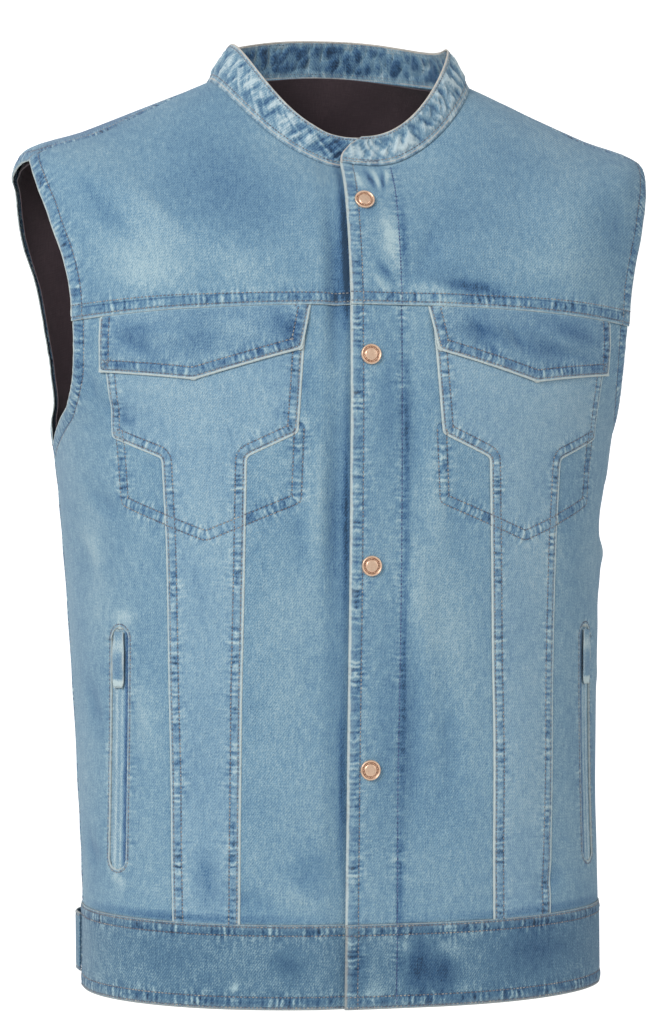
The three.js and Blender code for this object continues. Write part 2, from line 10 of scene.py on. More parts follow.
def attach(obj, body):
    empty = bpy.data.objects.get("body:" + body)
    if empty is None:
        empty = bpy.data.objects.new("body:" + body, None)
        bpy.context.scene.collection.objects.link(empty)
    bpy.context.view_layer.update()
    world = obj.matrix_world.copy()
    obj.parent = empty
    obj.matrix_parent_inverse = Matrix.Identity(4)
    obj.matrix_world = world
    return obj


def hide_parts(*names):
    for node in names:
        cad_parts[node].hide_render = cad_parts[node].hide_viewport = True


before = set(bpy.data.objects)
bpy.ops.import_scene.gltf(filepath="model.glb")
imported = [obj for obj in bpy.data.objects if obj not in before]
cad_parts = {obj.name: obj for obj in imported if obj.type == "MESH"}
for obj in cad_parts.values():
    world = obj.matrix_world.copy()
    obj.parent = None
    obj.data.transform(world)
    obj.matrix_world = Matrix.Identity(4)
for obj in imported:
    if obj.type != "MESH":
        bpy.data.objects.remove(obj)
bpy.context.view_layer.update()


# Back panel. One piece of washed light blue denim that wraps over both shoulders to the forward
# shoulder seams. Its armhole edges are turned in and topstitched.

MM = 0.001
DENIM_OUT = 1.2
CLOTH_THICKNESS = 1.0

# Rings of the worn form, from the neck seam to the hem, in millimetres
SECTION_COLUMNS = "level side_z back_z half_width side_y front_y back_y front_round back_round".split()
SECTIONS = dict(zip(SECTION_COLUMNS, np.array([
    [-689, -684, -686, 195, 0, -112, 114, 2.5, 2.4],
    [-627, -622, -624, 195, 4, -114, 114, 2.5, 2.4],
    [-550, -550, -550, 196, 18, -115, 116, 2.5, 2.4],
    [-450, -450, -450, 200, 38, -118, 124, 2.5, 2.4],
    [-350, -350, -350, 206, 50, -121, 136, 2.5, 2.4],
    [-268, -272, -268, 214, 50, -121, 142, 2.5, 2.4],
    [-178, -192, -180, 240, 46, -115, 142, 2.5, 2.4],
    [-156, -112, -120, 250, 46, -111, 138, 2.4, 2.4],
    [-138, -58, -78, 240, 46, -106, 131, 2.3, 2.3],
    [-117, -40, -42, 193, 38, -98, 121, 2.2, 2.2],
    [-94, -20, -14, 143, 29, -86, 106, 2.1, 2.1],
    [-74, -2, 12, 97, 20, -66, 86, 2.2, 2.0],
], float).T))
NECK_SEAM, SHOULDER_TIP, YOKE_SEAM, UNDERARM, CROSSBAR, BAND_SEAM, HEM = (
    -74.0, -140.0, -178.0, -271.0, -288.0, -627.0, -689.0)


def smooth_column(name, at):
    """A column of SECTIONS as a smooth curve that never overshoots its rows."""
    x, y = SECTIONS["level"], SECTIONS[name]
    step = np.diff(x)
    slope = np.diff(y) / step
    tangent = np.concatenate([slope[:1], np.zeros(len(x) - 2), slope[-1:]])
    before, after = 2 * step[1:] + step[:-1], step[1:] + 2 * step[:-1]
    with np.errstate(divide="ignore", invalid="ignore"):
        mean = (before + after) / (before / slope[:-1] + after / slope[1:])
    tangent[1:-1] = np.where(slope[:-1] * slope[1:] > 0, mean, 0)
    k = np.clip(np.searchsorted(x, at) - 1, 0, len(step) - 1)
    t = (at - x[k]) / step[k]
    return ((2 * t**3 - 3 * t**2 + 1) * y[k] + (t**3 - 2 * t**2 + t) * step[k] * tangent[k]
            + (3 * t**2 - 2 * t**3) * y[k + 1] + (t**3 - t**2) * step[k] * tangent[k + 1])


def half_ring(ring, steps):
    """Half a ring at equal lengths from centre front to centre back, and its whole length."""
    angle = np.linspace(0, np.pi, 3 * steps + 1)
    front = angle <= np.pi / 2
    cosine = np.abs(np.cos(angle))
    power = 2 / np.where(front, ring["front_round"], ring["back_round"])
    end_y = np.where(front, ring["front_y"], ring["back_y"])
    end_z = np.where(front, ring["front_z"], ring["back_z"])
    points = np.stack([
        ring["half_width"] * np.sin(angle) ** power,
        ring["side_y"] + (end_y - ring["side_y"]) * cosine**power,
        ring["side_z"] + (end_z - ring["side_z"]) * cosine**2,
    ], -1)
    length = np.concatenate([[0], np.cumsum(np.linalg.norm(np.diff(points, axis=0), axis=1))])
    even = np.linspace(0, length[-1], steps + 1)
    return np.stack([np.interp(even, length, points[:, c]) for c in range(3)], -1), length[-1]


RING_STEPS = 400
RING_LEVELS = np.arange(HEM - 5, NECK_SEAM + 2, 2.0)
RINGS = []
for ring_level in RING_LEVELS:
    ring = {name: smooth_column(name, ring_level) for name in SECTION_COLUMNS[1:]}
    RINGS.append(half_ring({**ring, "front_z": ring_level}, RING_STEPS))
RING_GRID = np.array([points for points, _ in RINGS])
RING_HALF = np.array([length for _, length in RINGS])


def smoothstep(x, low, high):
    t = np.clip((x - low) / (high - low), 0, 1)
    return t * t * (3 - 2 * t)


def half_girth(level):
    return np.interp(level, RING_LEVELS, RING_HALF)


def along_half(grid, fraction):
    """Points at a fraction of half rings; a negative fraction is the right side's mirror image."""
    fraction = fraction - 2 * np.round(fraction / 2)
    place = np.abs(fraction) * RING_STEPS
    j = np.clip(place.astype(int), 0, RING_STEPS - 1)
    points = grid(j) * (1 - (place - j))[..., None] + grid(j + 1) * (place - j)[..., None]
    points[..., 0] *= np.where(fraction < 0, -1, 1)
    return points


def on_ring(fraction, level):
    place = (level - RING_LEVELS[0]) / (RING_LEVELS[1] - RING_LEVELS[0])
    k = np.clip(np.floor(place).astype(int), 0, len(RING_LEVELS) - 2)
    t = (place - k)[..., None]
    low = along_half(lambda j: RING_GRID[k, j], fraction)
    return low * (1 - t) + along_half(lambda j: RING_GRID[k + 1, j], fraction) * t


def cloth_axes(s, level):
    """The surface's direction for a millimetre of s and for one of level, and its outward normal."""
    half = half_girth(level)
    reach = 3.0
    across = (on_ring((s + reach) / half, level) - on_ring((s - reach) / half, level)) / (2 * reach)
    upper = np.minimum(level + reach, NECK_SEAM)
    rising = (on_ring(s / half, upper) - on_ring(s / half, upper - 2 * reach)) / (2 * reach)
    widening = (half_girth(upper) - half_girth(upper - 2 * reach)) / (2 * reach)
    rising -= across * (s / half * widening)[..., None]
    normal = np.cross(across, rising)
    return across, rising, normal / np.linalg.norm(normal, axis=-1, keepdims=True)


# Folds of the worn cloth: a ridge, or a trough where the height is negative, between two places
# given by s and level. The first group is the large drape, the second the finer creases.
FOLDS = np.array([
    # s0, level0, s1, level1, width, height
    [-205, -160, -95, -250, 30, 3.2],
    [-150, -165, -70, -215, 22, -2.4],
    [120, -120, 205, -172, 28, 2.6],
    [-215, -300, -262, -420, 34, -4.0],
    [250, -300, 262, -365, 24, -5.5],
    [292, -330, 285, -420, 26, 1.5],
    [262, -430, 296, -470, 24, -5.0],
    [285, -505, 262, -590, 28, -3.6],
    [-260, -470, -282, -590, 30, 0.6],
    [20, -470, 60, -610, 26, -2.8],
    [-60, -470, -28, -600, 26, 2.8],
    [110, -430, 118, -600, 30, 2.6],
    [-118, -450, -125, -590, 28, -2.4],
    [420, -200, 395, -420, 32, 4.0],
    [-410, -215, -385, -400, 34, 4.2],
    [470, -230, 440, -520, 30, -3.4],
    [-455, -250, -430, -560, 30, -3.6],
    [500, -480, 480, -615, 28, 3.6],
    [-495, -430, -470, -600, 30, 3.4],
    [360, -470, 350, -600, 28, -3.4],
    [-350, -440, -345, -590, 28, -3.2],
], float)
CREASES = np.array([
    # s0, level0, s1, level1, width, height
    [-196, -186, -128, -226, 7, -1.5],
    [-170, -184, -118, -205, 5, 1.2],
    [-215, -232, -176, -262, 8, -1.4],
    [62, -186, 96, -214, 5, -1.4],
    [78, -184, 118, -208, 5, 1.4],
    [110, -186, 165, -216, 7, -1.5],
    [60, -112, 30, -165, 9, -1.4],
    [-66, -186, -40, -260, 8, -1.2],
    [-24, -80, -26, -250, 6, -3.0],
    [-240, -135, -146, -158, 5, -2.0],
    [-200, -126, -120, -150, 5, 1.4],
    [-26, -220, -27, -430, 7, -2.4],
    [44, -168, 62, -186, 4, 1.4],
    [100, -150, 190, -166, 8, 1.7],
    [40, -160, 110, -167, 4, -1.4],
    [-190, -186, -168, -200, 4, -1.4],
    [-60, -184, -52, -206, 3.4, -1.4],
    [70, -184, 92, -200, 3, -1.5],
    [96, -184, 124, -208, 3.4, -1.5],
    [-34, -240, -46, -420, 9, 1.4],
    [30, -186, 33, -330, 8, -1.7],
    [33, -380, 30, -600, 8, -1.8],
    [46, -240, 50, -400, 10, 1.2],
    [-240, -300, -176, -340, 9, -1.5],
    [-262, -330, -206, -372, 10, 1.5],
    [-244, -440, -208, -500, 9, -1.5],
    [-176, -430, -160, -520, 7, 1.0],
    [-250, -560, -206, -600, 9, -1.7],
    [-120, -600, -60, -618, 8, -1.4],
    [160, -590, 120, -616, 8, -1.4],
    [232, -300, 268, -318, 9, -2.1],
    [222, -352, 285, -362, 10, 2.2],
    [228, -392, 290, -412, 10, -2.2],
    [236, -452, 280, -458, 9, 2.0],
    [232, -520, 275, -540, 9, -1.8],
    [225, -592, 262, -610, 9, -1.7],
    [545, -190, 505, -260, 12, -2.1],
    [-560, -200, -520, -270, 12, -2.0],
    [470, -300, 430, -360, 12, 2.0],
    [-480, -330, -440, -385, 12, 2.1],
    [520, -560, 440, -590, 10, -1.8],
    [-520, -570, -430, -602, 10, -1.8],
    [380, -300, 345, -350, 12, -2.1],
    [-385, -310, -350, -352, 12, -2.2],
    [58, -190, 140, -207, 4, -1.3],
    [104, -187, 190, -201, 5, 1.5],
    [128, -201, 196, -207, 4, -1.3],
    [74, -196, 104, -213, 3, -1.1],
    [26, -160, 74, -168, 5, 1.4],
    [60, -166, 124, -172, 4, -1.2],
    [-190, -197, -150, -214, 5, 1.3],
    [-110, -186, -72, -206, 5, 1.1],
    [-225, -190, -206, -250, 7, -1.6],
    [30, -330, 44, -470, 9, 1.5],
    [52, -420, 66, -560, 9, -1.3],
    [-60, -300, -40, -400, 9, -1.2],
    [-80, -590, -30, -620, 7, 1.2],
], float)


def ridge_heights(table, s, level):
    half = half_girth(level)
    here = s - 2 * half * np.round(s / half / 2)
    total = np.zeros(np.broadcast(s, level).shape)
    for s0, level0, s1, level1, width, height in table:
        run_s, run_level = s1 - s0, level1 - level0
        length = math.hypot(run_s, run_level)
        place = ((here - s0) * run_s + (level - level0) * run_level) / length**2
        aside = ((here - s0) * run_level - (level - level0) * run_s) / length
        fade = np.where((place > 0) & (place < 1), np.sin(np.pi * np.clip(place, 0, 1)) ** 2, 0)
        total += height * fade * np.exp(-((aside / width) ** 2))
    return total


def on_cloth(s, level, out):
    """Places on the folded cloth, in millimetres, moved out from it."""
    s, level, out = np.broadcast_arrays(np.asarray(s, float), np.asarray(level, float), out)
    lift = out + ridge_heights(FOLDS, s, level) + ridge_heights(CREASES, s, level)
    return on_ring(s / half_girth(level), level) + cloth_axes(s, level)[2] * lift[..., None]


def shifted(line, aside):
    """A line of (s, level) moved sideways over the cloth, to the left of its own direction."""
    s, level = line.T
    across, rising, normal = cloth_axes(s, level)
    along = np.gradient(s)[:, None] * across + np.gradient(level)[:, None] * rising
    aim = np.cross(normal, along)
    aim *= aside / np.linalg.norm(aim, axis=1, keepdims=True)
    aa, ab, bb = (across**2).sum(1), (across * rising).sum(1), (rising**2).sum(1)
    pa, pb = (aim * across).sum(1), (aim * rising).sum(1)
    det = aa * bb - ab**2
    return np.stack([s + (pa * bb - pb * ab) / det, level + (pb * aa - pa * ab) / det], -1)


def line(points, side=1, rounding=3):
    """A drawn line on the cloth: its corners are rounded, its places about 2 mm apart."""
    points = np.array(points, float)
    length = np.concatenate([[0], np.cumsum(np.hypot(*np.diff(points, axis=0).T))])
    even = np.linspace(0, length[-1], max(3, int(length[-1] / 2)))
    drawn = np.stack([np.interp(even, length, points[:, c]) for c in range(2)], -1)
    for _ in range(rounding):
        drawn[1:-1] = (drawn[:-2] + drawn[1:-1] + drawn[2:]) / 3
    return drawn * [side, 1]


def ring_line(level, s0, s1):
    """A line round the body at one level."""
    return line([(s0, level), (s1, level)])


def nearest(points, drawn, out):
    """Distance from each point to a drawn line, and the length along the line to there."""
    knots = on_cloth(drawn[:, 0], drawn[:, 1], out)
    step = np.diff(knots, axis=0)
    span = (step**2).sum(1)
    run = np.concatenate([[0], np.cumsum(np.sqrt(span))])
    flat = points.reshape(-1, 3)
    distance, place = np.empty(len(flat)), np.empty(len(flat))
    chunk = 4000
    for start in range(0, len(flat), chunk):
        part = flat[start:start + chunk, None] - knots[None, :-1]
        t = np.clip((part * step).sum(-1) / span, 0, 1)
        far = np.linalg.norm(part - t[..., None] * step, axis=-1)
        k = far.argmin(1)
        rows = np.arange(len(k))
        distance[start:start + chunk] = far[rows, k]
        place[start:start + chunk] = run[k] + t[rows, k] * (run[k + 1] - run[k])
    return distance.reshape(points.shape[:-1]), place.reshape(points.shape[:-1])


EDGE_OFFSETS = np.array([0, 0.2, 0.5, 0.9, 1.5, 2.4, 3.6, 5.2, 7.2, 9.6])
TUCK_OFFSETS = np.array([-3.0, -0.8, 0.3, 2.4, 5.0])
TUCK_DROPS = np.array([1.3, 0.9, 0, 0, 0])


def edge_offsets(ends):
    return [EDGE_OFFSETS if end == "over" else TUCK_OFFSETS for end in ends]


def tuck_drops(count, ends):
    drop = np.zeros(count)
    if ends[0] == "tuck":
        drop[:len(TUCK_DROPS)] = TUCK_DROPS
    if ends[1] == "tuck":
        drop[-len(TUCK_DROPS):] = TUCK_DROPS[::-1]
    return drop


OPEN_ENDS = ("over", "over")


def spaced(low, high, step, ends=OPEN_ENDS):
    """Places between two edges for each row, close together near an edge that shows, with the drop
    of the cloth where it is tucked under its neighbour. ends is two of over and tuck."""
    first, last = edge_offsets(ends)
    low, high = np.atleast_1d(low)[:, None], np.atleast_1d(high)[:, None]
    middle = int(np.median(high - low) / step)
    share = np.linspace(0, 1, middle + 2)[None, 1:-1]
    inner_low, inner_high = low + first[-1], high - last[-1]
    places = np.concatenate([
        low + first, inner_low + (inner_high - inner_low) * share, high - last[::-1]], 1)
    return places, tuck_drops(places.shape[1], ends)


def mesh_of(bm, name):
    """The finished mesh of a bmesh, which is freed."""
    mesh = bpy.data.meshes.new(name)
    bm.to_mesh(mesh)
    bm.free()
    return mesh


def placed(name, data):
    made = bpy.data.objects.new(name, data)
    bpy.context.collection.objects.link(made)
    return made


def wall(name, points, pattern, values, thickness=CLOTH_THICKNESS, holes=None):
    """A wall of cloth from a grid of outer points in millimetres. Rows run down, columns towards the
    wearer's left. Its UV map holds the place in the weave, in metres."""
    rows, columns = points.shape[:2]
    bm = bmesh.new()
    bmesh.ops.create_grid(bm, x_segments=columns - 1, y_segments=rows - 1, size=1)
    cells = []
    for v in bm.verts:
        column = round((v.co.x + 1) / 2 * (columns - 1))
        row = round((1 - v.co.y) / 2 * (rows - 1))
        cells.append(row * columns + column)
        v.co = points[row, column] * MM
    if holes is not None:
        bm.verts.ensure_lookup_table()
        cut = [f for f in bm.faces if holes[min(cells[v.index] // columns for v in f.verts),
                                            min(cells[v.index] % columns for v in f.verts)]]
        bmesh.ops.delete(bm, geom=cut, context="FACES_ONLY")
    mesh = mesh_of(bm, name)
    cells = np.array(cells)
    corners = np.empty(len(mesh.loops), int)
    mesh.loops.foreach_get("vertex_index", corners)
    uv = mesh.uv_layers.new(name="pattern")
    uv.data.foreach_set("uv", (pattern.reshape(-1, 2)[cells][corners] * MM).ravel())
    for key, value in values.items():
        attribute = mesh.attributes.new(key, "FLOAT", "POINT")
        spread_value = np.broadcast_to(value, (rows, columns)).ravel()
        attribute.data.foreach_set("value", spread_value[cells].astype(float))
    mesh.shade_smooth()
    piece = placed(name, mesh)
    solid = piece.modifiers.new("thickness", "SOLIDIFY")
    solid.thickness = thickness * MM
    solid.offset = -1
    return piece


class Signal:
    """A value in a material that can be used in sums."""

    def __init__(self, finish, socket):
        self.finish = finish
        self.socket = socket

    def _sum(self, operation, *terms):
        made = self.finish.node("ShaderNodeMath", {"operation": operation}, dict(enumerate(terms)))
        return Signal(self.finish, made.outputs[0])

    def __add__(self, other):
        return self._sum("ADD", self, other)

    def __sub__(self, other):
        return self._sum("SUBTRACT", self, other)

    def __rsub__(self, other):
        return self._sum("SUBTRACT", other, self)

    def __mul__(self, other):
        return self._sum("MULTIPLY", self, other)

    def __truediv__(self, other):
        return self._sum("DIVIDE", self, other)

    __radd__ = __add__
    __rmul__ = __mul__

    def wave(self):
        return self._sum("SINE", self)

    def size(self):
        return self._sum("ABSOLUTE", self)

    def rise(self, low, high):
        """0 up to low, 1 from high on, smooth between."""
        made = self.finish.node("ShaderNodeMapRange", {"interpolation_type": "SMOOTHSTEP"}, {
            "Value": self, "From Min": low, "From Max": high, "To Min": 0.0, "To Max": 1.0})
        return Signal(self.finish, made.outputs["Result"])

    def bell(self, width):
        """1 at zero, falling off on both sides within about the width."""
        return 1 - self.size().rise(0, width)


class Finish:
    """A material under construction."""

    def __init__(self, name):
        self.material = bpy.data.materials.new(name)
        self.material.use_nodes = True
        self.tree = self.material.node_tree
        self.tree.nodes.clear()
        self.shader = self.node("ShaderNodeBsdfPrincipled", {}, {})
        output = self.node("ShaderNodeOutputMaterial", {}, {"Surface": self.shader.outputs[0]})
        output.is_active_output = True

    def node(self, kind, settings, sockets):
        made = self.tree.nodes.new(kind)
        for key, value in settings.items():
            if key == "stops":
                ramp = made.color_ramp
                for k, (place, colour) in enumerate(value):
                    stop = ramp.elements[k] if k < 2 else ramp.elements.new(place)
                    stop.position = place
                    stop.color = (*colour, 1)
            else:
                setattr(made, key, value)
        for key, value in sockets.items():
            self.feed(made.inputs[key], value)
        return made

    def feed(self, socket, value):
        if isinstance(value, Signal):
            value = value.socket
        if isinstance(value, bpy.types.NodeSocket):
            self.tree.links.new(value, socket)
        elif isinstance(value, tuple) and len(value) == 3 and socket.type == "RGBA":
            socket.default_value = (*value, 1)
        else:
            socket.default_value = value

    def reading(self, name):
        """A value stored on the mesh, in millimetres."""
        made = self.node("ShaderNodeAttribute", {"attribute_name": name}, {})
        return Signal(self, made.outputs["Fac"])

    def pattern(self, across, down):
        """The cloth's own pattern place, scaled so that 1 is the given millimetres."""
        uv = self.node("ShaderNodeUVMap", {"uv_map": "pattern"}, {})
        scale = (1 / (across * MM), 1 / (down * MM), 1)
        return self.node("ShaderNodeMapping", {"vector_type": "POINT"}, {
            "Vector": uv.outputs[0], "Scale": scale}).outputs[0]

    def place(self):
        """The cloth's own pattern place, across and down, in millimetres."""
        parts = self.node("ShaderNodeSeparateXYZ", {}, {0: self.pattern(1, 1)})
        return Signal(self, parts.outputs[0]), Signal(self, parts.outputs[1])

    def blots(self, place, scale, detail, dimensions="3D"):
        """Noise around zero at a place."""
        made = self.node("ShaderNodeTexNoise", {"noise_dimensions": dimensions}, {
            "Vector": place, "Scale": scale, "Detail": detail})
        return Signal(self, made.outputs["Fac"]) - 0.5

    def noise(self, across, down, detail):
        """Noise from -1 to 1 whose blots are about the given millimetres."""
        return self.blots(self.pattern(across, down), 1.0, detail, "2D") * 3.0

    def noise_at(self, across, down, detail):
        """Noise from -1 to 1 at a place worked out from other values, with blots of about 1."""
        place = self.node("ShaderNodeCombineXYZ", {}, {0: across, 1: down}).outputs[0]
        return self.blots(place, 1.0, detail, "2D") * 3.0

    def own_place(self):
        return self.node("ShaderNodeTexCoord", {}, {}).outputs["Object"]

    def ramp(self, value, stops):
        return self.node("ShaderNodeValToRGB", {"stops": stops}, {"Fac": value}).outputs["Color"]

    def blend(self, share, first, second):
        made = self.node("ShaderNodeMix", {"data_type": "RGBA"}, {
            0: share, 6: first, 7: second})
        return made.outputs[2]

    def surface(self, colour, roughness, height_mm, constants):
        """Sets how the surface looks, its relief in millimetres, and gives the finished material."""
        values = {"Base Color": colour, "Roughness": roughness, **constants}
        if height_mm is not None:
            values["Normal"] = self.node("ShaderNodeBump", {}, {
                "Strength": 1.0, "Distance": MM, "Height": height_mm}).outputs[0]
        for key, value in values.items():
            self.feed(self.shader.inputs[key], value)
        return self.material


TWILL_PITCH = 1.9
RIB_PITCH, PUCKER_PITCH, PUCKER_SLANT = 4.1, 4.6, 0.22


def paint(red, green, blue):
    """A colour as seen on a screen, 0 to 255, as the shader's own values."""
    return tuple(((c / 255 + 0.055) / 1.055) ** 2.4 if c > 10 else c / 255 / 12.92
                 for c in (red, green, blue))


def denim(name, deep, mid, faded, fold=(198, 208, 204)):
    """Washed twill in four colours, from its deepest to its worn folds. The mesh gives: edge, the
    distance to a worn fold; rows, the distance to the nearest row of stitches, negative between two
    rows; run, the length along that seam; rope, how strongly the seam puckers; wash, how faded or
    deep the cloth is there, with painted shade and painted highlight of folds, creases and edges."""
    finish = Finish(name)
    deep, mid, faded, fold = (paint(*colour) for colour in (deep, mid, faded, fold))
    edge, rows, run, rope, wash_and_shade = (
        finish.reading(key) for key in ("edge", "rows", "run", "rope", "wash_and_shade"))
    across, down = finish.place()
    clouds = finish.noise(46, 70, 3)
    mottle = finish.noise(5, 8, 3)
    warp = finish.noise(0.9, 11, 2)
    weft = finish.noise(7, 1.0, 2)
    grain = finish.noise(1.2, 1.5, 2)
    twill = ((across - down * 0.7) * (2 * math.pi / TWILL_PITCH) + grain * 1.6).wave()
    drift = finish.noise(9, 9, 2)
    # Rope marks: the two layers of a seam shrink unevenly, so it puckers across its rows
    ribs = (run * (2 * math.pi / RIB_PITCH) + rows * PUCKER_SLANT + drift * 1.8).wave()
    puckers = finish.noise_at((run + drift * 0.8) / 3.6, rows / 7.5, 1.5)
    ropes = rope * (ribs * 0.34 + puckers * 1.08 + mottle * 0.45)
    between = 1 - rows.rise(-0.6, 0.6)
    needle = rows.bell(1.0)
    shade = (0.53 + clouds * 0.09 + mottle * 0.10 + warp * 0.12 + weft * 0.06 + grain * 0.20
             + twill * 0.09 + wash_and_shade * 0.30 + ropes * 0.74 - between * 0.11 - needle * 0.30)
    shadowed = tuple(0.4 * c for c in deep)
    colour = finish.ramp(
        shade * 0.8 + 0.2, [(0.0, shadowed), (1.0, faded), (0.22, deep), (0.6, mid)])
    worn = 1 - (edge + mottle * 0.45 + drift * 0.3 + clouds * 0.3).rise(0.5, 1.8)
    rubbed = (edge + drift * 1.5).rise(1.0, 6.0)
    colour = finish.blend((1 - rubbed) * 0.18, colour, paint(176, 196, 200))
    colour = finish.blend(worn * (0.78 + mottle * 0.15), colour, fold)
    height = (twill * 0.08 + grain * 0.09 + warp * 0.07 + weft * 0.03 + ropes * 0.45
              + mottle * 0.10 - needle * 0.35)
    return finish.surface(colour, 0.86 + warp * 0.03, height, {
        "Specular IOR Level": 0.25, "Sheen Weight": 0.12, "Sheen Roughness": 0.6})


def dressed(piece, node, slot, material):
    """Gives a piece its material, hangs it on the root body, and hides the imported part it replaces.
    """
    piece.data.materials.append(material)
    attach(piece, "root")
    if node:
        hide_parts(node)


# Patches of deeper or paler wash, and strokes of painted shade and painted highlight, from one place
# to another, and how deep or pale
WASH_AND_SHADE = np.array([
    # s0, level0, s1, level1, width, wash and painted shade
    [-215, -146, -110, -168, 15, 0.8],
    [-150, -140, -50, -164, 13, 0.5],
    [-215, -172, -120, -172, 4, -0.5],
    [-200, -112, -24, -112, 26, -0.9],
    [24, -112, 200, -112, 26, -0.25],
    # Painted shade below the yoke seam, under its lapped edge and in the creases of the flaps, with one
    # paler streak
    [-198, -184, -130, -194, 5, -0.9],
    [-178, -188, -156, -210, 5, -0.8],
    [-75, -180, -48, -208, 7, -1.2],
    [-160, -196, -100, -203, 8, -0.7],
    [-130, -186, -90, -192, 6, 0.3],
    [60, -184, 120, -202, 6, -1.0],
    [120, -186, 196, -194, 9, -1.1],
    [100, -200, 160, -212, 7, -0.4],
    [-192, -236, -180, -268, 7, -0.9],
    [-186, -256, -172, -262, 4, -1.2],
    [-58, -250, -70, -268, 6, -0.8],
    # Painted shade in the crease along the edge of the left front's facing, with paler worn streaks
    # beside it
    [28, -82, 27, -178, 2.6, -1.6],
    [20, -110, 21, -160, 6, 0.7],
    [26, -176, 26, -420, 2.4, -1.5],
    [25, -300, 24, -600, 2.4, -1.6],
    [23, -500, 22, -692, 2.4, -1.5],
    [14, -176, 12, -330, 8, -0.6],
    [12, -330, 12, -620, 8, -0.5],
    [32, -190, 36, -300, 6, 0.5],
    # Painted shadow cast by the lifted edge of the left front onto the right front
    [-15, -46, -16.5, -222, 2.6, -3.4],
    [-18, -78, -19, -230, 4.5, -0.8],
    [-17, -190, -19, -470, 2.4, -2.2],
    [-20, -420, -20.5, -625, 2.8, -2.0],
    [-26, -300, -27, -620, 7, -0.5],
    # Painted shade and painted highlight of small puckers under the collar on the left front
    [3, -76, 11, -97, 1.8, -2.6],
    [9, -75, 15, -99, 1.6, 2.8],
    [-6, -78, 1, -96, 1.8, 2.0],
    [18, -76, 14, -100, 1.8, -2.4],
    [22, -76, 18, -92, 1.8, 2.2],
    [-1, -94, 5, -118, 3.0, -1.0],
    [13, -100, 19, -155, 5, 1.3],
    [2, -142, 22, -166, 3, -1.4],
    [0, -150, 16, -174, 2.4, 1.2],
    [26, -158, 118, -170, 4, -1.3],
    [10, -158, 90, -150, 5, -0.6],
    [30, -173, 74, -176, 3, 1.0],
    [110, -150, 190, -172, 14, -0.4],
    [190, -120, 226, -176, 16, -0.6],
    [60, -330, 60, -520, 16, 0.35],
    [-60, -330, -60, -520, 18, 0.3],
    [-40, -560, -50, -620, 14, -0.6],
    [-205, -408, -172, -402, 5, 1.2],
    [-206, -470, -204, -560, 4, 0.7],
    [-180, -602, -202, -598, 5, 1.1],
    [-120, -560, -118, -626, 8, -1.2],
    [-128, -350, -122, -420, 9, -0.4],
    [-20, -640, 10, -680, 14, -0.9],
    [-80, -648, -40, -664, 8, -0.9],
    [-180, -650, -110, -655, 16, -0.3],
    [10, -636, 40, -650, 5, 1.1],
    [30, -650, 70, -676, 12, -1.1],
    [44, -642, 74, -652, 5, 0.9],
    [90, -640, 180, -660, 16, -0.8],
    [34, -618, 36, -700, 9, -1.5],
    [52, -626, 60, -700, 6, -0.8],
    [3, -632, 1, -700, 7, 0.9],
    [40, -655, 270, -655, 34, -0.5],
    # Painted shadow under the top edge of the hem band
    [-270, -623.5, -6, -623.5, 2.4, -1.7],
    [10, -623.5, 280, -623.5, 2.4, -1.2],
    # Painted shade on the back beyond each shoulder seam
    [-178, -76, -322, -138, 14, -1.5],
    [178, -76, 322, -138, 14, -1.0],
    [-101, -670, -95, -676, 3.0, 2.4],
    [-101, -680, -97, -684, 2.4, 1.6],
    [140, -300, 150, -420, 16, 0.4],
    [200, -440, 215, -600, 12, -0.5],
    [-230, -300, -225, -440, 18, 0.5],
    [-262, -200, -240, -260, 12, 0.5],
    [480, -250, 460, -420, 40, 0.5],
    [-470, -300, -450, -520, 40, 0.5],
    [545, -420, 520, -600, 36, 0.5],
    [-545, -180, -520, -300, 30, 0.5],
    [500, -150, 560, -200, 30, -0.4],
], float)

ROLL_HEIGHT, ROLL_WIDTH = 0.9, 1.3
ROW_DEPTH, PUFF_HEIGHT, PUCKER_HEIGHT = 0.35, 0.4, 0.3
# Painted shade in the troughs of folds and creases and painted highlight on their ridges, weaker on the
# back
FOLD_SHADE, CREASE_SHADE, CREASE_SHADE_BEHIND = 0.07, 0.4, 0.12
# Panels whose middle lies past this s are at the back; the depths are how far y reaches
BEHIND_FROM, FRONT_DEPTH, BACK_DEPTH, DEPTH_SHARE = 400.0, 118.0, 142.0, 0.6
FAR = 60.0
SURFACES = {}
SEWN = []
SEWING_REACH = 9.0


def route_over(drawn):
    """A line on the cloth as places above it and the cloth's normals there."""
    s, level = drawn.T
    return on_cloth(s, level, SEWING_REACH), cloth_axes(s, level)[2]


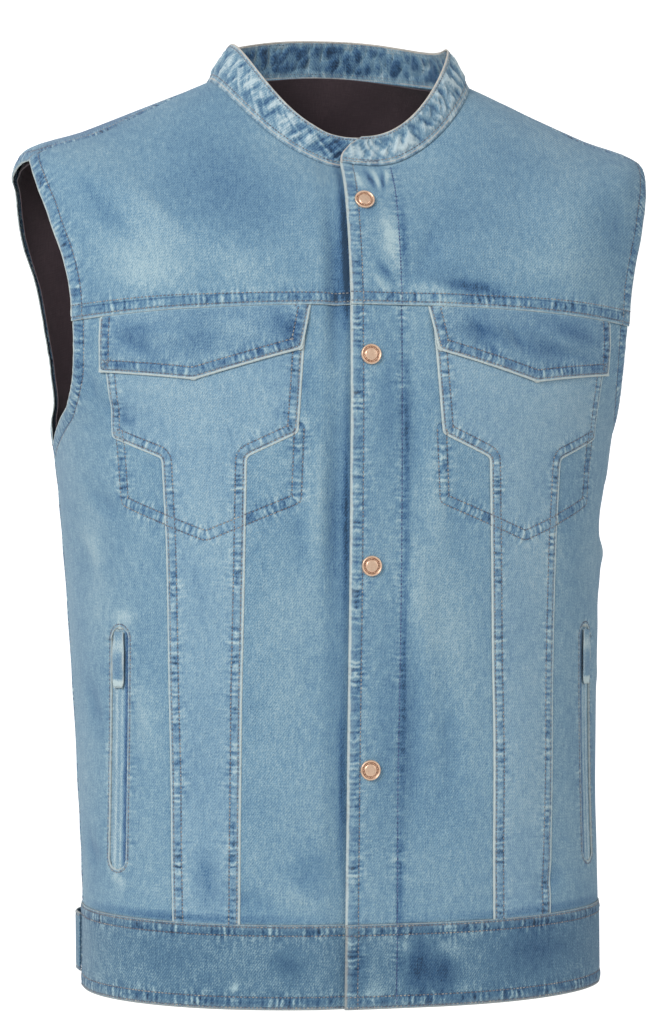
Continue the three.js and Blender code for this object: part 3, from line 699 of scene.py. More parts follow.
def panel(node, s, level, out, finish, seams=(), wash_and_shade=0.0, drop=0.0,
          thickness=CLOTH_THICKNESS, holes=None):
    """A panel of the garment between places s and level. Its seams are (line, wear, rows, turn):
    wear of the folded edge, None where there is no fold; distances of the stitch rows, the first
    from 0 where there is one; and the side of the line they are sewn on, 0 where none is."""
    name = f"{node}_cloth"
    s, level, out = np.broadcast_arrays(s, level, np.asarray(out, float))
    middle_out = float(out.mean())
    flat = on_cloth(s, level, middle_out)
    edge = np.full(s.shape, FAR)
    rows, run, second = np.full(s.shape, FAR), np.zeros(s.shape), np.full(s.shape, FAR)
    rolled = np.zeros(s.shape)
    for drawn, wear, offsets, turn in seams:
        distance, place = nearest(flat, drawn, middle_out)
        if wear is not None:
            rolled = np.maximum(rolled, 1 - np.clip(distance / ROLL_WIDTH, 0, 1))
            edge = np.minimum(edge, distance + (1 - wear))
        if offsets:
            near, far = (0, *offsets)[-2:]
            here = np.abs(distance - (near + far) / 2) - (far - near) / 2
            second = np.minimum(second, np.maximum(rows, here))
            run = np.where(here < rows, place, run)
            rows = np.minimum(rows, here)
        if turn:
            SEWN.extend(((name,), *route_over(shifted(drawn, turn * row))) for row in offsets)
    # The cloth between two rows puffs up and puckers across, less where two seams cross
    rope = np.where(rows < 0, 0.85, 0.6 * np.exp(-rows / 4.6)) * smoothstep(second - rows, 0.5, 4.0)
    strength = 0.65 + 0.35 * np.sin(run / 9.1 + s / 31) * np.cos(run / 23.7 + level / 17)
    rope = rope * strength
    roll = ROLL_HEIGHT * (1 - np.sqrt(1 - rolled**2))
    dip = ROW_DEPTH * np.exp(-(rows**2))
    puff = PUFF_HEIGHT * np.clip(-rows / 2.5, 0, 1)
    pucker = PUCKER_HEIGHT * rope * np.sin(run * (2 * math.pi / PUCKER_PITCH) + rows * PUCKER_SLANT)
    relief = out - roll - dip + puff + pucker - drop
    behind = s.mean() > BEHIND_FROM
    # The folds and creases paint shade into their troughs and highlight onto their ridges; the table
    # adds wash and painted shade strokes
    fold_shade = ridge_heights(FOLDS, s, level) * FOLD_SHADE
    fold_shade += ridge_heights(CREASES, s, level) * (CREASE_SHADE_BEHIND if behind else CREASE_SHADE)
    patches = ridge_heights(WASH_AND_SHADE, s, level)
    values = {"edge": edge, "rows": rows, "run": run, "rope": rope, "wash_and_shade": wash_and_shade + fold_shade + patches}
    points = on_cloth(s, level, relief)
    SURFACES[name] = (points, holes)
    # The weave runs straight up and down the body, over the shoulders too
    half = half_girth(level)
    upright = smoothstep(level, UNDERARM, YOKE_SEAM)
    straight = -points[..., 0] if behind else points[..., 0]
    around = s - half if behind else s
    weave = around + (straight - around) * upright
    depth = BACK_DEPTH - points[..., 1] if behind else FRONT_DEPTH + points[..., 1]
    length = level + (points[..., 2] - level + DEPTH_SHARE * depth) * upright
    made = wall(name, points, np.stack([weave, length], -1), values, thickness, holes)
    dressed(made, node, *finish)


SHOULDER_AT_NECK = 159
SHOULDER_SEAM = line([(SHOULDER_AT_NECK, NECK_SEAM), (192, -94), (230, -117), (291, SHOULDER_TIP)])
FRONT_ARMHOLE = line([
    (291, SHOULDER_TIP), (253, -151), (233, -161), (224.5, -169), (226, YOKE_SEAM), (228.5, -193),
    (234, -212), (241, -225), (251, -239), (280, -256), (316, UNDERARM)])
SIDE_SEAM = line([
    (316, UNDERARM), (309, -350), (292, -450), (271, -550), (259, BAND_SEAM), (255, HEM)])
# The back armhole is measured from centre back
BACK_ARMHOLE = line([
    (321, SHOULDER_TIP), (303, -142), (285, -144), (270, -145.5), (258, -147), (246, -159),
    (232, -166), (227, -174), (223, -193), (223, -225), (227, -239), (240, -256), (256, UNDERARM)])


def place_on(drawn, level):
    """Where a drawn line that runs down the cloth lies at a level."""
    order = np.argsort(drawn[:, 1])
    return np.interp(level, drawn[order, 1], drawn[order, 0])


def back_reach(level):
    half = half_girth(level)
    return np.where(level > SHOULDER_TIP, half - place_on(SHOULDER_SEAM, level), np.where(
        level > UNDERARM, place_on(BACK_ARMHOLE, level), half - place_on(SIDE_SEAM, level)))


def front_reach(level):
    return np.where(level > SHOULDER_TIP, place_on(SHOULDER_SEAM, level), np.where(
        level > UNDERARM, place_on(FRONT_ARMHOLE, level), place_on(SIDE_SEAM, level)))


def levels_down(stops, ends=OPEN_ENDS):
    """Levels of a panel's rows, and how far each row is tucked in. stops are pairs of a level and
    the step from there on. ends say whether the top and the bottom show or are tucked in."""
    offsets = edge_offsets(ends)
    top, bottom = stops[0][0], stops[-1][0]
    inner = np.concatenate([
        np.arange(start, end, -step) for (start, step), (end, _) in zip(stops, stops[1:])])
    inner = inner[(inner < top - offsets[0][-1] - 1) & (inner > bottom + offsets[1][-1] + 1)]
    levels = np.concatenate([top - offsets[0], inner, bottom + offsets[1][::-1]])
    return levels[:, None], tuck_drops(len(levels), ends)[:, None]


def mirrored(drawn, side):
    return drawn * [side, 1]


def around_back(drawn, side):
    """A line measured from centre back, as one measured from centre front."""
    t, level = drawn.T
    return np.stack([side * (half_girth(level) - t), level], -1)


DENIM = ("denim", denim("washed_denim", (60, 100, 138), (109, 146, 170), (170, 194, 201)))
ARMHOLE_ROWS = (11.0,)
SIDE_ROWS = (2.2, 8.6)
back_levels, back_drop = levels_down(
    [(NECK_SEAM, 4.0), (-133, 1.2), (-139, 0.8), (-150, 2.4), (-200, 4.2), (BAND_SEAM, 0)],
    ("over", "tuck"))
half_back = back_reach(back_levels[:, 0])
back_t, _ = spaced(-half_back, half_back, 4.4)
back_armholes = [around_back(BACK_ARMHOLE, side) for side in (1, -1)]
shoulders = [mirrored(SHOULDER_SEAM, side) for side in (1, -1)]
sides = [mirrored(SIDE_SEAM, side) for side in (1, -1)]
panel(
    "back_panel", half_girth(back_levels) + back_t, back_levels, DENIM_OUT, DENIM,
    seams=[(drawn, 0.7, ARMHOLE_ROWS, turn) for drawn, turn in zip(back_armholes, (1, -1))]
    + [(drawn, 0.7, SIDE_ROWS, turn) for drawn, turn in zip(shoulders + sides, (1, -1) * 2)],
    drop=back_drop)


# Lining. A smooth dark woven cloth in three parts, back and two fronts, sewn in behind the denim.
# It stops at the front facings and just short of the armholes, and shows inside both.

LINING_OUT, LINING_THICKNESS, LINING_STEP = -3.0, 0.8, 7.0
LINING_FRONT_EDGE = 50.0
ARMHOLE_INSET, SEAM_INSET = 1.0, 0.6


def lining_finish():
    finish = Finish("lining_weave")
    sheen = finish.noise(40, 90, 2)
    thread = finish.noise(0.6, 9, 1)
    slub = finish.noise(8, 0.7, 1)
    # The lining takes the same painted shade and highlight of folds and creases, and the same wash and
    # painted shade strokes, as the denim
    shade = 0.5 + sheen * 0.16 + thread * 0.10 + slub * 0.08 + finish.reading("wash_and_shade") * 0.25
    colour = finish.ramp(shade, [
        (0.0, paint(42, 32, 36)), (1.0, paint(100, 84, 88)), (0.5, paint(68, 54, 60))])
    return finish.surface(colour, 0.62 + thread * 0.05, thread * 0.04 + slub * 0.04, {
        "Specular IOR Level": 0.4, "Sheen Weight": 0.1})


LINING = ("lining", lining_finish())
lining_levels, _ = levels_down(
    [(NECK_SEAM + 1.6, 6.0), (-133, 2.0), (-152, 5.0), (-200, LINING_STEP), (BAND_SEAM, 0)])
flat_levels = lining_levels[:, 0]
open_edge = (flat_levels <= SHOULDER_TIP) & (flat_levels > UNDERARM)
inset = np.where(open_edge, ARMHOLE_INSET, SEAM_INSET)
half_back = back_reach(flat_levels) - inset
lining_t, _ = spaced(-half_back, half_back, LINING_STEP)
panel("lining_back", half_girth(lining_levels) + lining_t, lining_levels, LINING_OUT, LINING,
      thickness=LINING_THICKNESS)


def sided(side, low, high):
    """The edges of a panel of the left side, or the mirrored edges of its twin on the right."""
    return (low, high) if side > 0 else (-high, -low)


SIDES = {1: "left", -1: "right"}
for side, label in SIDES.items():
    low, high = sided(
        side, np.full(len(flat_levels), LINING_FRONT_EDGE), front_reach(flat_levels) - inset)
    lining_s, _ = spaced(low, high, LINING_STEP)
    panel(f"lining_front_{label}", lining_s, lining_levels, LINING_OUT, LINING,
          thickness=LINING_THICKNESS)


# Yoke fronts. Denim from the neck seam to the yoke seam, its lower edge folded under and sewn with
# two rows over the panels below. The left front laps over the right down the whole closure.

FRONT_EDGE_TOP, FRONT_EDGE_HEM = -14.0, -18.5
UNDERLAP = 19.0
EDGE_LIFT, EDGE_LIFT_TOP, LIFTED_TO = 2.2, 3.8, 34.0
UNDER_DROP, UNDER_FROM, UNDER_TO = 1.9, 38.0, 21.0
FRONT_ROWS = (9.5,)
YOKE_OUT, YOKE_ROWS, YOKE_SIDE = 2.0, (2.6, 8.8), 226
SEAM_PUFF, PUFF_FROM, PUFF_TO = 0.7, 7.0, 14.0

FRONT_EDGE = line([(FRONT_EDGE_TOP, NECK_SEAM), (FRONT_EDGE_HEM, HEM)])
# The folded facing inside the left front is held by one row, in blue thread
PLACKET_ROW = line([(25, NECK_SEAM - 3), (23.5, YOKE_SEAM), (22, -400), (20, HEM + 2)])


def front_out(side, s, level, out):
    """The left front rises towards its edge, and the right front drops to pass under it."""
    if side > 0:
        lift = EDGE_LIFT + (EDGE_LIFT_TOP - EDGE_LIFT) * smoothstep(level, YOKE_SEAM - 60, NECK_SEAM)
        return out + lift * (1 - smoothstep(s, place_on(FRONT_EDGE, level), LIFTED_TO))
    return out - UNDER_DROP * smoothstep(s, -UNDER_FROM, -UNDER_TO)


def closure_seams(side):
    """The folded edge of the left front and the row that holds its facing; the right has neither."""
    return [(FRONT_EDGE, 1.5, FRONT_ROWS, 1), (PLACKET_ROW, None, (0, 0), 0)] if side > 0 else []


def front_bounds(side, level, outer):
    """The edges of a front that reaches from the closure to an outer line."""
    if side > 0:
        return place_on(FRONT_EDGE, level), outer
    return -outer, np.full(len(outer), UNDERLAP)


yoke_levels, yoke_drop = levels_down(
    [(NECK_SEAM, 2.4), (-133, 1.2), (-172, 2.0), (YOKE_SEAM, 0)], ("tuck", "over"))
for side, label in SIDES.items():
    low, high = front_bounds(side, yoke_levels[:, 0], front_reach(yoke_levels[:, 0]))
    yoke_s, _ = spaced(low, high, 2.5)
    seam_ends = (FRONT_EDGE_TOP - 1, YOKE_SIDE) if side > 0 else (-YOKE_SIDE, UNDERLAP)
    puffed = SEAM_PUFF * (1 - smoothstep(yoke_levels - YOKE_SEAM, PUFF_FROM, PUFF_TO))
    panel(
        f"yoke_front_{label}", yoke_s, yoke_levels,
        front_out(side, yoke_s, yoke_levels, YOKE_OUT) + puffed, DENIM,
        seams=[(ring_line(YOKE_SEAM, *seam_ends), 0.3, YOKE_ROWS, 1),
               (mirrored(FRONT_ARMHOLE, side), 1.7, ARMHOLE_ROWS, -side)] + closure_seams(side),
        drop=yoke_drop)


# Centre fronts. One long panel on each side of the closure, between the pocket panels, from the
# yoke seam to the hem band.

POCKET_INNER = line([
    (46, YOKE_SEAM), (53, UNDERARM), (90, CROSSBAR), (93, -465), (94, BAND_SEAM)], rounding=1)
POCKET_OUTER = line([
    (199, YOKE_SEAM), (197, UNDERARM), (154, CROSSBAR), (151, -348), (148, -465), (144, BAND_SEAM)],
    rounding=1)
BAG_LINE = line([
    (49, -267), (51, -321), (88, -336), (120, -349), (154, -336), (190, -322), (193, -267)], rounding=2)
BAG_ROWS = 7.0
PANEL_STOPS = [(YOKE_SEAM, 2.6), (-262, 1.1), (-294, 2.6), (BAND_SEAM, 0)]


def bag_seam(side):
    """The two rows that hold the pocket bag behind the fronts, as a seam about their middle."""
    middle = shifted(mirrored(BAG_LINE, side), side * BAG_ROWS / 2)
    return [(middle, None, (-BAG_ROWS / 2, BAG_ROWS / 2), 0)]


centre_levels, centre_drop = levels_down(PANEL_STOPS, ("tuck", "tuck"))
for side, label in SIDES.items():
    low, high = front_bounds(side, centre_levels[:, 0], place_on(POCKET_INNER, centre_levels[:, 0]))
    centre_s, tucked = spaced(low, high, 2.5, ("over", "tuck") if side > 0 else ("tuck", "over"))
    panel(
        f"centre_front_{label}", centre_s, centre_levels,
        front_out(side, centre_s, centre_levels, DENIM_OUT), DENIM,
        seams=closure_seams(side) + bag_seam(side),
        drop=np.maximum(centre_drop, tucked))


# Pocket bags. A pouch of plain cloth hangs behind each pocket front, held by two rows of stitches
# that show on the outside.

BAG_OUT, BAG_THICKNESS, BAG_TOP = -0.8, 0.7, -184.0
BAG_PLACES, BAG_BOTTOM = (51, 120, 190), (-320, -348, -321)
for side, label in SIDES.items():
    bag_s = np.linspace(BAG_PLACES[0], BAG_PLACES[2], 26)[None, :]
    bag_bottom = np.interp(bag_s, BAG_PLACES, BAG_BOTTOM)
    bag_level = BAG_TOP + (bag_bottom - BAG_TOP) * np.linspace(0, 1, 24)[:, None]
    bag_s = np.broadcast_to(side * bag_s, bag_level.shape)[:, ::side]
    panel(f"pocket_bag_{label}", bag_s, bag_level[:, ::side], BAG_OUT, LINING,
          thickness=BAG_THICKNESS)


# Pocket fronts. One T-shaped panel of denim on each side, wide at the chest pocket and narrow down
# to the hem band. Its edges are folded under and sewn with two rows onto the panels beside it.

POCKET_OUT, POCKET_ROWS = 2.0, (2.4, 8.2)
POCKET_DENIM = ("denim_pocket", denim(
    "washed_denim_pocket", (72, 112, 147), (123, 157, 179), (178, 200, 205)))
for side, label in SIDES.items():
    low, high = sided(side, *(
        place_on(drawn, centre_levels[:, 0]) for drawn in (POCKET_INNER, POCKET_OUTER)))
    pocket_s, _ = spaced(low, high, 2.5)
    panel(
        f"pocket_front_{label}", pocket_s, centre_levels, POCKET_OUT, POCKET_DENIM,
        seams=[(mirrored(POCKET_INNER, side), 1.3, POCKET_ROWS, side),
               (mirrored(POCKET_OUTER, side), 1.1, POCKET_ROWS, -side)] + bag_seam(side),
        drop=centre_drop)


# Pocket flaps. A pointed flap of doubled denim over each chest pocket, caught in the yoke seam and
# sewn with two rows along its edges. Its turned edge has worn nearly white.

FLAP_OUT, FLAP_TOP_OUT, FLAP_ROWS = 3.9, 2.4, (2.4, 8.8)
FLAP_WIDTH, FLAP_LENGTH = 154.0, 46.0
# The flap's edges at its top and its lower corners, and the lower edge's corners and point
FLAP_TOP, FLAP_CORNERS, FLAP_POINT = (43, 200), (50, 203), 128
FLAP_SHARES, FLAP_LEVELS = (0, 0.51, 1), (-210, -229, -213)
FLAP_OUTLINE = line([
    (FLAP_TOP[0], YOKE_SEAM), *zip((FLAP_CORNERS[0], FLAP_POINT, FLAP_CORNERS[1]), FLAP_LEVELS),
    (FLAP_TOP[1], YOKE_SEAM)], rounding=2)
FLAP_DENIM = ("denim", denim(
    "washed_denim_flap", (52, 92, 132), (104, 140, 166), (166, 192, 200)))
flap_share = np.concatenate([
    [-0.03, 0.0, 0.03], np.linspace(0.07, 0.78, 15), 1 - EDGE_OFFSETS[::-1] / FLAP_LENGTH])[:, None]
flap_u = spaced(0.0, FLAP_WIDTH, 2.3)[0] / FLAP_WIDTH
flap_level = YOKE_SEAM + (np.interp(flap_u, FLAP_SHARES, FLAP_LEVELS) - YOKE_SEAM) * flap_share
flap_low, flap_high = (
    top + (corner - top) * flap_share for top, corner in zip(FLAP_TOP, FLAP_CORNERS))
flap_s = flap_low + (flap_high - flap_low) * flap_u
flap_out = FLAP_TOP_OUT + (FLAP_OUT - FLAP_TOP_OUT) * smoothstep(YOKE_SEAM - flap_level, 0, 14)
for side, label in SIDES.items():
    panel(
        f"pocket_flap_{label}", (side * flap_s)[:, ::side], flap_level[:, ::side],
        flap_out[:, ::side], FLAP_DENIM, seams=[(mirrored(FLAP_OUTLINE, side), 1.4, FLAP_ROWS, side)],
        drop=np.where(flap_share <= 0, 1.0, 0))


# Side fronts. From the pocket panel round to the side seam, each with the upright slit of a side
# pocket. The slit's edges are turned in, worn pale, and sewn round with one row.

SLOT_MIDDLE, SLOT_HALF, SLOT_TOP, SLOT_BOTTOM = 193.0, 8.5, -413.0, -592.0
SLOT_ROW, SLOT_LIP, SLOT_NEAR = 2.6, 0.9, 8.0
# Above this level the columns are even, and below the next they follow the slit
EVEN_ABOVE, FOLLOW_BELOW = -330, -385


def slot_half(level, radius):
    """Half the width of the slit at a level; above and below it, it grows again slowly."""
    beyond = np.maximum(level - SLOT_TOP, SLOT_BOTTOM - level)
    inside = np.clip(1 + beyond / radius, 0, 1)
    return np.where(beyond < 0, radius * np.sqrt(np.clip(1 - inside**2, 0.001, 1)),
                    0.3 + np.clip(beyond - 2, 0, None) * 0.35)


def slot_outline(radius, top, bottom, middle):
    turn = np.linspace(0, np.pi, 13)
    upper = np.stack([middle + radius * np.cos(turn), top - radius + radius * np.sin(turn)], -1)
    lower = np.stack([middle - radius * np.cos(turn), bottom + radius - radius * np.sin(turn)], -1)
    return line([*upper, *lower, upper[0]], rounding=0)


side_levels, side_drop = levels_down([
    *PANEL_STOPS[:3], (SLOT_TOP + 11, 1.2), (SLOT_TOP - 11, 2.6), (SLOT_BOTTOM + 11, 1.2),
    (SLOT_BOTTOM - 11, 2.6), (BAND_SEAM, 0)], ("tuck", "tuck"))
flat_levels = side_levels[:, 0]
for side, label in SIDES.items():
    low, high = place_on(POCKET_OUTER, flat_levels), front_reach(flat_levels)
    even_s, tucked = spaced(low, high, 3.4, ("tuck", "over"))
    columns = even_s.shape[1]
    widths = np.clip(slot_half(flat_levels, SLOT_HALF), 0.3, SLOT_HALF)
    first = len(TUCK_OFFSETS) + 12
    last = first + 5
    slot_low, slot_high = SLOT_MIDDLE - widths, SLOT_MIDDLE + widths
    marks = np.stack([
        low + TUCK_OFFSETS[0], low + TUCK_OFFSETS[-1], slot_low - SLOT_NEAR, slot_low - SLOT_LIP,
        slot_low, slot_high, slot_high + SLOT_LIP, slot_high + SLOT_NEAR,
        high - EDGE_OFFSETS[-1], high], -1)
    mark_columns = np.array([0, len(TUCK_OFFSETS) - 1, first - 6, first - 2, first, last, last + 2,
                             last + 6, columns - len(EDGE_OFFSETS), columns - 1])
    slot_s = np.array([np.interp(np.arange(columns), mark_columns, row) for row in marks])
    slot_s[:, :5], slot_s[:, -10:] = even_s[:, :5], even_s[:, -10:]
    share = smoothstep(-flat_levels, -EVEN_ABOVE, -FOLLOW_BELOW)[:, None]
    side_s = even_s * (1 - share) + slot_s * share
    in_slot = (flat_levels[:-1] <= SLOT_TOP + 0.01) & (flat_levels[1:] >= SLOT_BOTTOM - 0.01)
    holes = np.zeros((len(flat_levels) - 1, columns - 1), bool)
    holes[in_slot, first:last] = True
    if side < 0:
        side_s, tucked, holes = -side_s[:, ::-1], tucked[::-1], holes[:, ::-1]
    slot_edge = mirrored(slot_outline(SLOT_HALF, SLOT_TOP, SLOT_BOTTOM, SLOT_MIDDLE), side)
    slot_rows = mirrored(slot_outline(
        SLOT_HALF + SLOT_ROW, SLOT_TOP + SLOT_ROW, SLOT_BOTTOM - SLOT_ROW, SLOT_MIDDLE), side)
    panel(
        f"side_front_{label}", side_s, side_levels, DENIM_OUT, DENIM,
        seams=[(mirrored(FRONT_ARMHOLE, side), 1.7, ARMHOLE_ROWS, -side),
               (slot_edge, 1.0, (SLOT_ROW,), 0)] + bag_seam(side),
        drop=np.maximum(side_drop, tucked), holes=holes)
    SEWN.append(((f"side_front_{label}_cloth",), *route_over(slot_rows)))
    names = tuple(f"{kind}_front_{label}_cloth" for kind in ("centre", "pocket", "side"))
    for row in (mirrored(BAG_LINE, side), shifted(mirrored(BAG_LINE, side), side * BAG_ROWS)):
        SEWN.append((names, *route_over(row)))


# Side pocket welts and zip pulls. A folded strip of denim fills each slit, and a denim tab hangs
# from the top of it, its lower end worn pale.

WELT_FOLD, WELT_REACH, WELT_PAST, WELT_THICKNESS = 200.5, 10.5, 2.0, 0.9
PULL_TOP, PULL_BOTTOM, PULL_HALF, PULL_HALF_TOP = -416.0, -457.0, 6.0, 5.0
PULL_OUT, PULL_BOW, PULL_TIP, PULL_CORNER = 2.8, 0.5, 0.84, 3.0
WELT_DENIM = ("denim", denim(
    "washed_denim_welt", (54, 94, 136), (112, 148, 172), (184, 204, 208)))


def streak(place, width):
    return np.exp(-((place / width) ** 2))


welt_ends = (SLOT_TOP + WELT_PAST, SLOT_BOTTOM - WELT_PAST)
welt_levels, _ = levels_down([(welt_ends[0], 3.0), (welt_ends[1], 0)])
from_middle = np.linspace(-WELT_REACH, WELT_REACH, 29) + 0 * welt_levels
welt_s = SLOT_MIDDLE + from_middle
welt_out = 0.2 - 0.4 * smoothstep(welt_s, WELT_FOLD - 1.2, WELT_FOLD)
# Two pale streaks down the welt, and painted shade over its side nearer the centre front, down in the
# slit
welt_wash_and_shade = (streak(from_middle - 3, 1.6) + 0.8 * streak(from_middle + 2.5, 1.1)
             - 1.6 * smoothstep(-from_middle, 4.0, 7.0))
welt_fold = line([(WELT_FOLD, end) for end in welt_ends])

pull_share = np.linspace(0, 1, 19)[:, None]
pull_half = PULL_HALF_TOP + (PULL_HALF - PULL_HALF_TOP) * smoothstep(pull_share, 0, 0.45)
pull_half *= np.sqrt(1 - 0.5 * np.clip((pull_share - PULL_TIP) / (1 - PULL_TIP), 0, 1) ** 2)
pull_s = SLOT_MIDDLE + pull_half * np.linspace(-1, 1, 15)
pull_level = PULL_TOP + (PULL_BOTTOM - PULL_TOP) * pull_share + 0 * pull_s
pull_wash = 2.6 * smoothstep(pull_share, PULL_TIP, 0.9) + 1.3 * streak(pull_share - 0.25, 0.15) - 0.4
pull_edge = line([(SLOT_MIDDLE + across, level) for across, level in (
    (-PULL_HALF_TOP, PULL_TOP), (-PULL_HALF, PULL_BOTTOM + PULL_CORNER),
    (2 - PULL_HALF, PULL_BOTTOM), (PULL_HALF - 2, PULL_BOTTOM),
    (PULL_HALF, PULL_BOTTOM + PULL_CORNER), (PULL_HALF_TOP, PULL_TOP))], rounding=1)
for side, label in SIDES.items():
    panel(
        f"side_welt_{label}", (side * welt_s)[:, ::side], welt_levels, welt_out[:, ::side], WELT_DENIM,
        seams=[(mirrored(welt_fold, side), -0.6, (), 0)], wash_and_shade=welt_wash_and_shade[:, ::side],
        thickness=WELT_THICKNESS)
    panel(
        f"zip_pull_{label}", (side * pull_s)[:, ::side], pull_level,
        PULL_OUT + PULL_BOW * np.sin(np.pi * pull_share), WELT_DENIM,
        seams=[(mirrored(pull_edge, side), 0.2, (), 0)], wash_and_shade=pull_wash)


# Hem band. A wide band of doubled denim in three parts, two fronts and a back, sewn over the lower
# edge of the panels. Two rows run along its top and two along its hem.

BAND_OUT, BAND_THICKNESS = 2.2, 1.8
BAND_TOP_ROWS, BAND_HEM_ROWS = (1.8, 8.0), (1.8, 9.4)
BAND_SIDE, HEM_SIDE = 259, 255
BAND_DENIM = ("denim_band", denim(
    "washed_denim_band", (42, 80, 116), (86, 122, 147), (160, 187, 196), (158, 160, 156)))


def band_seams(top_ends, hem_ends):
    return [(ring_line(BAND_SEAM, *top_ends), 0.3, BAND_TOP_ROWS, -1),
            (ring_line(HEM, *hem_ends), 1.1, BAND_HEM_ROWS, 1)]


band_levels, _ = levels_down([(BAND_SEAM, 2.2), (HEM, 0)])
for side, label in SIDES.items():
    low, high = front_bounds(side, band_levels[:, 0], place_on(SIDE_SEAM, band_levels[:, 0]))
    band_s, _ = spaced(low, high, 2.4)
    band_ends = (FRONT_EDGE_HEM, BAND_SIDE) if side > 0 else (-BAND_SIDE, UNDERLAP)
    panel(
        f"band_front_{label}", band_s, band_levels,
        front_out(side, band_s, band_levels, BAND_OUT), BAND_DENIM,
        seams=band_seams(band_ends, band_ends) + closure_seams(side),
        thickness=BAND_THICKNESS)

half_back = back_reach(band_levels[:, 0])
band_t, _ = spaced(-half_back, half_back, 4.4)
panel(
    "band_back", half_girth(band_levels) + band_t, band_levels, BAND_OUT, BAND_DENIM,
    seams=band_seams((BAND_SIDE, 2 * half_girth(BAND_SEAM) - BAND_SIDE),
                     (HEM_SIDE, 2 * half_girth(HEM) - HEM_SIDE))
    + [(drawn, 0.7, SIDE_ROWS, 0) for drawn in sides],
    thickness=BAND_THICKNESS)


# Waist tabs. A short pointed tab of doubled denim on the hem band behind each side seam, caught in
# the seam at one end and held by a snap near its point.

TAB_TOP, TAB_BOTTOM, TAB_START, TAB_END, TAB_POINT = -634.0, -678.0, 262.0, 344.0, 352.0
TAB_OUT, TAB_ROWS, TAB_THICKNESS = 4.3, (2.4,), 1.4
TAB_BOW, TAB_FLAT = 3.4, 22.0
TAB_MIDDLE = (TAB_TOP + TAB_BOTTOM) / 2
tab_levels, _ = levels_down([(TAB_TOP, 2.2), (TAB_BOTTOM, 0)])
tab_from_middle = np.abs(tab_levels[:, 0] - TAB_MIDDLE) / (TAB_TOP - TAB_MIDDLE)
for side, label in SIDES.items():
    low, high = sided(
        side, np.full(len(tab_levels), TAB_START), TAB_POINT + (TAB_END - TAB_POINT) * tab_from_middle)
    tab_s, _ = spaced(low, high, 2.4)
    tab_edge = mirrored(line([
        (TAB_START, TAB_TOP), (TAB_END, TAB_TOP), (TAB_POINT, TAB_MIDDLE), (TAB_END, TAB_BOTTOM),
        (TAB_START, TAB_BOTTOM)], rounding=2), side)
    bowed = np.clip((np.abs(tab_s) - TAB_START) / (TAB_POINT - TAB_FLAT - TAB_START), 0, 1)
    panel(
        f"waist_tab_{label}", tab_s, tab_levels, TAB_OUT + TAB_BOW * np.sin(np.pi * bowed), BAND_DENIM,
        seams=[(tab_edge, 1.0, TAB_ROWS, -side)],
        thickness=TAB_THICKNESS)


# Collar band. A short stand collar of doubled denim, its foot sewn over the neck edge. Its two
# layers shrank unevenly, so it is puckered all round; its upper edge is bound in tan.

COLLAR_TOP = {
    "front_z": -50, "side_z": 27, "back_z": 41, "half_width": 82, "side_y": 17, "front_y": -63,
    "back_y": 80, "front_round": 2.3, "back_round": 2.5}
COLLAR_HEIGHT, COLLAR_THICKNESS, COLLAR_GAP = 27.0, 2.0, 0.6
COLLAR_SLANT, SLANT_END = 18.0, 20.0
COLLAR_SUNK, FOOT_COVERED = 2.4, 0.95
COLLAR_UNDER_DROP = 2.7
COLLAR_ROW = 2.6
COLLAR_DENIM = denim(
    "washed_denim_collar", (52, 90, 128), (110, 146, 169), (188, 206, 212), (208, 198, 184))
collar_top_points, _ = half_ring(COLLAR_TOP, RING_STEPS)
NECK_HALF = float(half_girth(NECK_SEAM))
NECK_ROUND = 2 * NECK_HALF


def collar_middle(s, up):
    """The collar's own surface, from its foot on the neck seam, up = 0, to its upper edge, up = 1."""
    slanted = s + COLLAR_SLANT * up**2 * (1 - smoothstep(s, FRONT_EDGE_TOP, SLANT_END))
    wrapped = s - NECK_ROUND * np.round(s / NECK_HALF / 2)
    on_back = smoothstep(np.abs(wrapped), SHOULDER_AT_NECK, SHOULDER_AT_NECK + 30)
    seat = YOKE_OUT + (DENIM_OUT - YOKE_OUT) * on_back + COLLAR_GAP
    lift = np.where(s < LIFTED_TO, EDGE_LIFT_TOP * (1 - smoothstep(s, FRONT_EDGE_TOP, LIFTED_TO)), 0)
    foot = on_cloth(slanted, NECK_SEAM, seat + lift)
    head = along_half(lambda j: collar_top_points[j], slanted / NECK_HALF)
    return foot * (1 - up[..., None]) + head * up[..., None]


def collar_outward(along, s):
    normal = np.cross(along, collar_middle(s, np.ones_like(s)) - collar_middle(s, np.zeros_like(s)))
    return normal / np.linalg.norm(normal, axis=-1, keepdims=True)


def drop_under(s):
    """How far the collar's right end drops to pass under the left one."""
    return COLLAR_UNDER_DROP * smoothstep(s, NECK_ROUND - UNDER_FROM, NECK_ROUND - UNDER_TO)


def swelling(s, height, across, tall, lean, seed):
    """Soft leaning puckers, from -1 in a hollow to 1 on a ridge."""
    places = np.stack([(s + lean * height) / across, height / tall, np.full(s.shape, seed)], -1)
    swell = np.array([noise.noise(place) for place in places.reshape(-1, 3)]).reshape(s.shape)
    return np.clip(swell * 1.9, -1, 1)


collar_start, collar_end = FRONT_EDGE_TOP, NECK_ROUND + UNDERLAP
collar_s, _ = spaced(collar_start, collar_end, 1.15)
near_edge = EDGE_OFFSETS[:7]
from_foot = np.concatenate([
    [-COLLAR_SUNK, -1.0], near_edge, np.linspace(4.7, COLLAR_HEIGHT - 4.7, 18),
    COLLAR_HEIGHT - near_edge[::-1]])[::-1, None]
collar_s, collar_up = np.broadcast_arrays(collar_s, from_foot / COLLAR_HEIGHT)
from_foot, from_top = collar_up * COLLAR_HEIGHT, (1 - collar_up) * COLLAR_HEIGHT
from_end = collar_s - collar_start

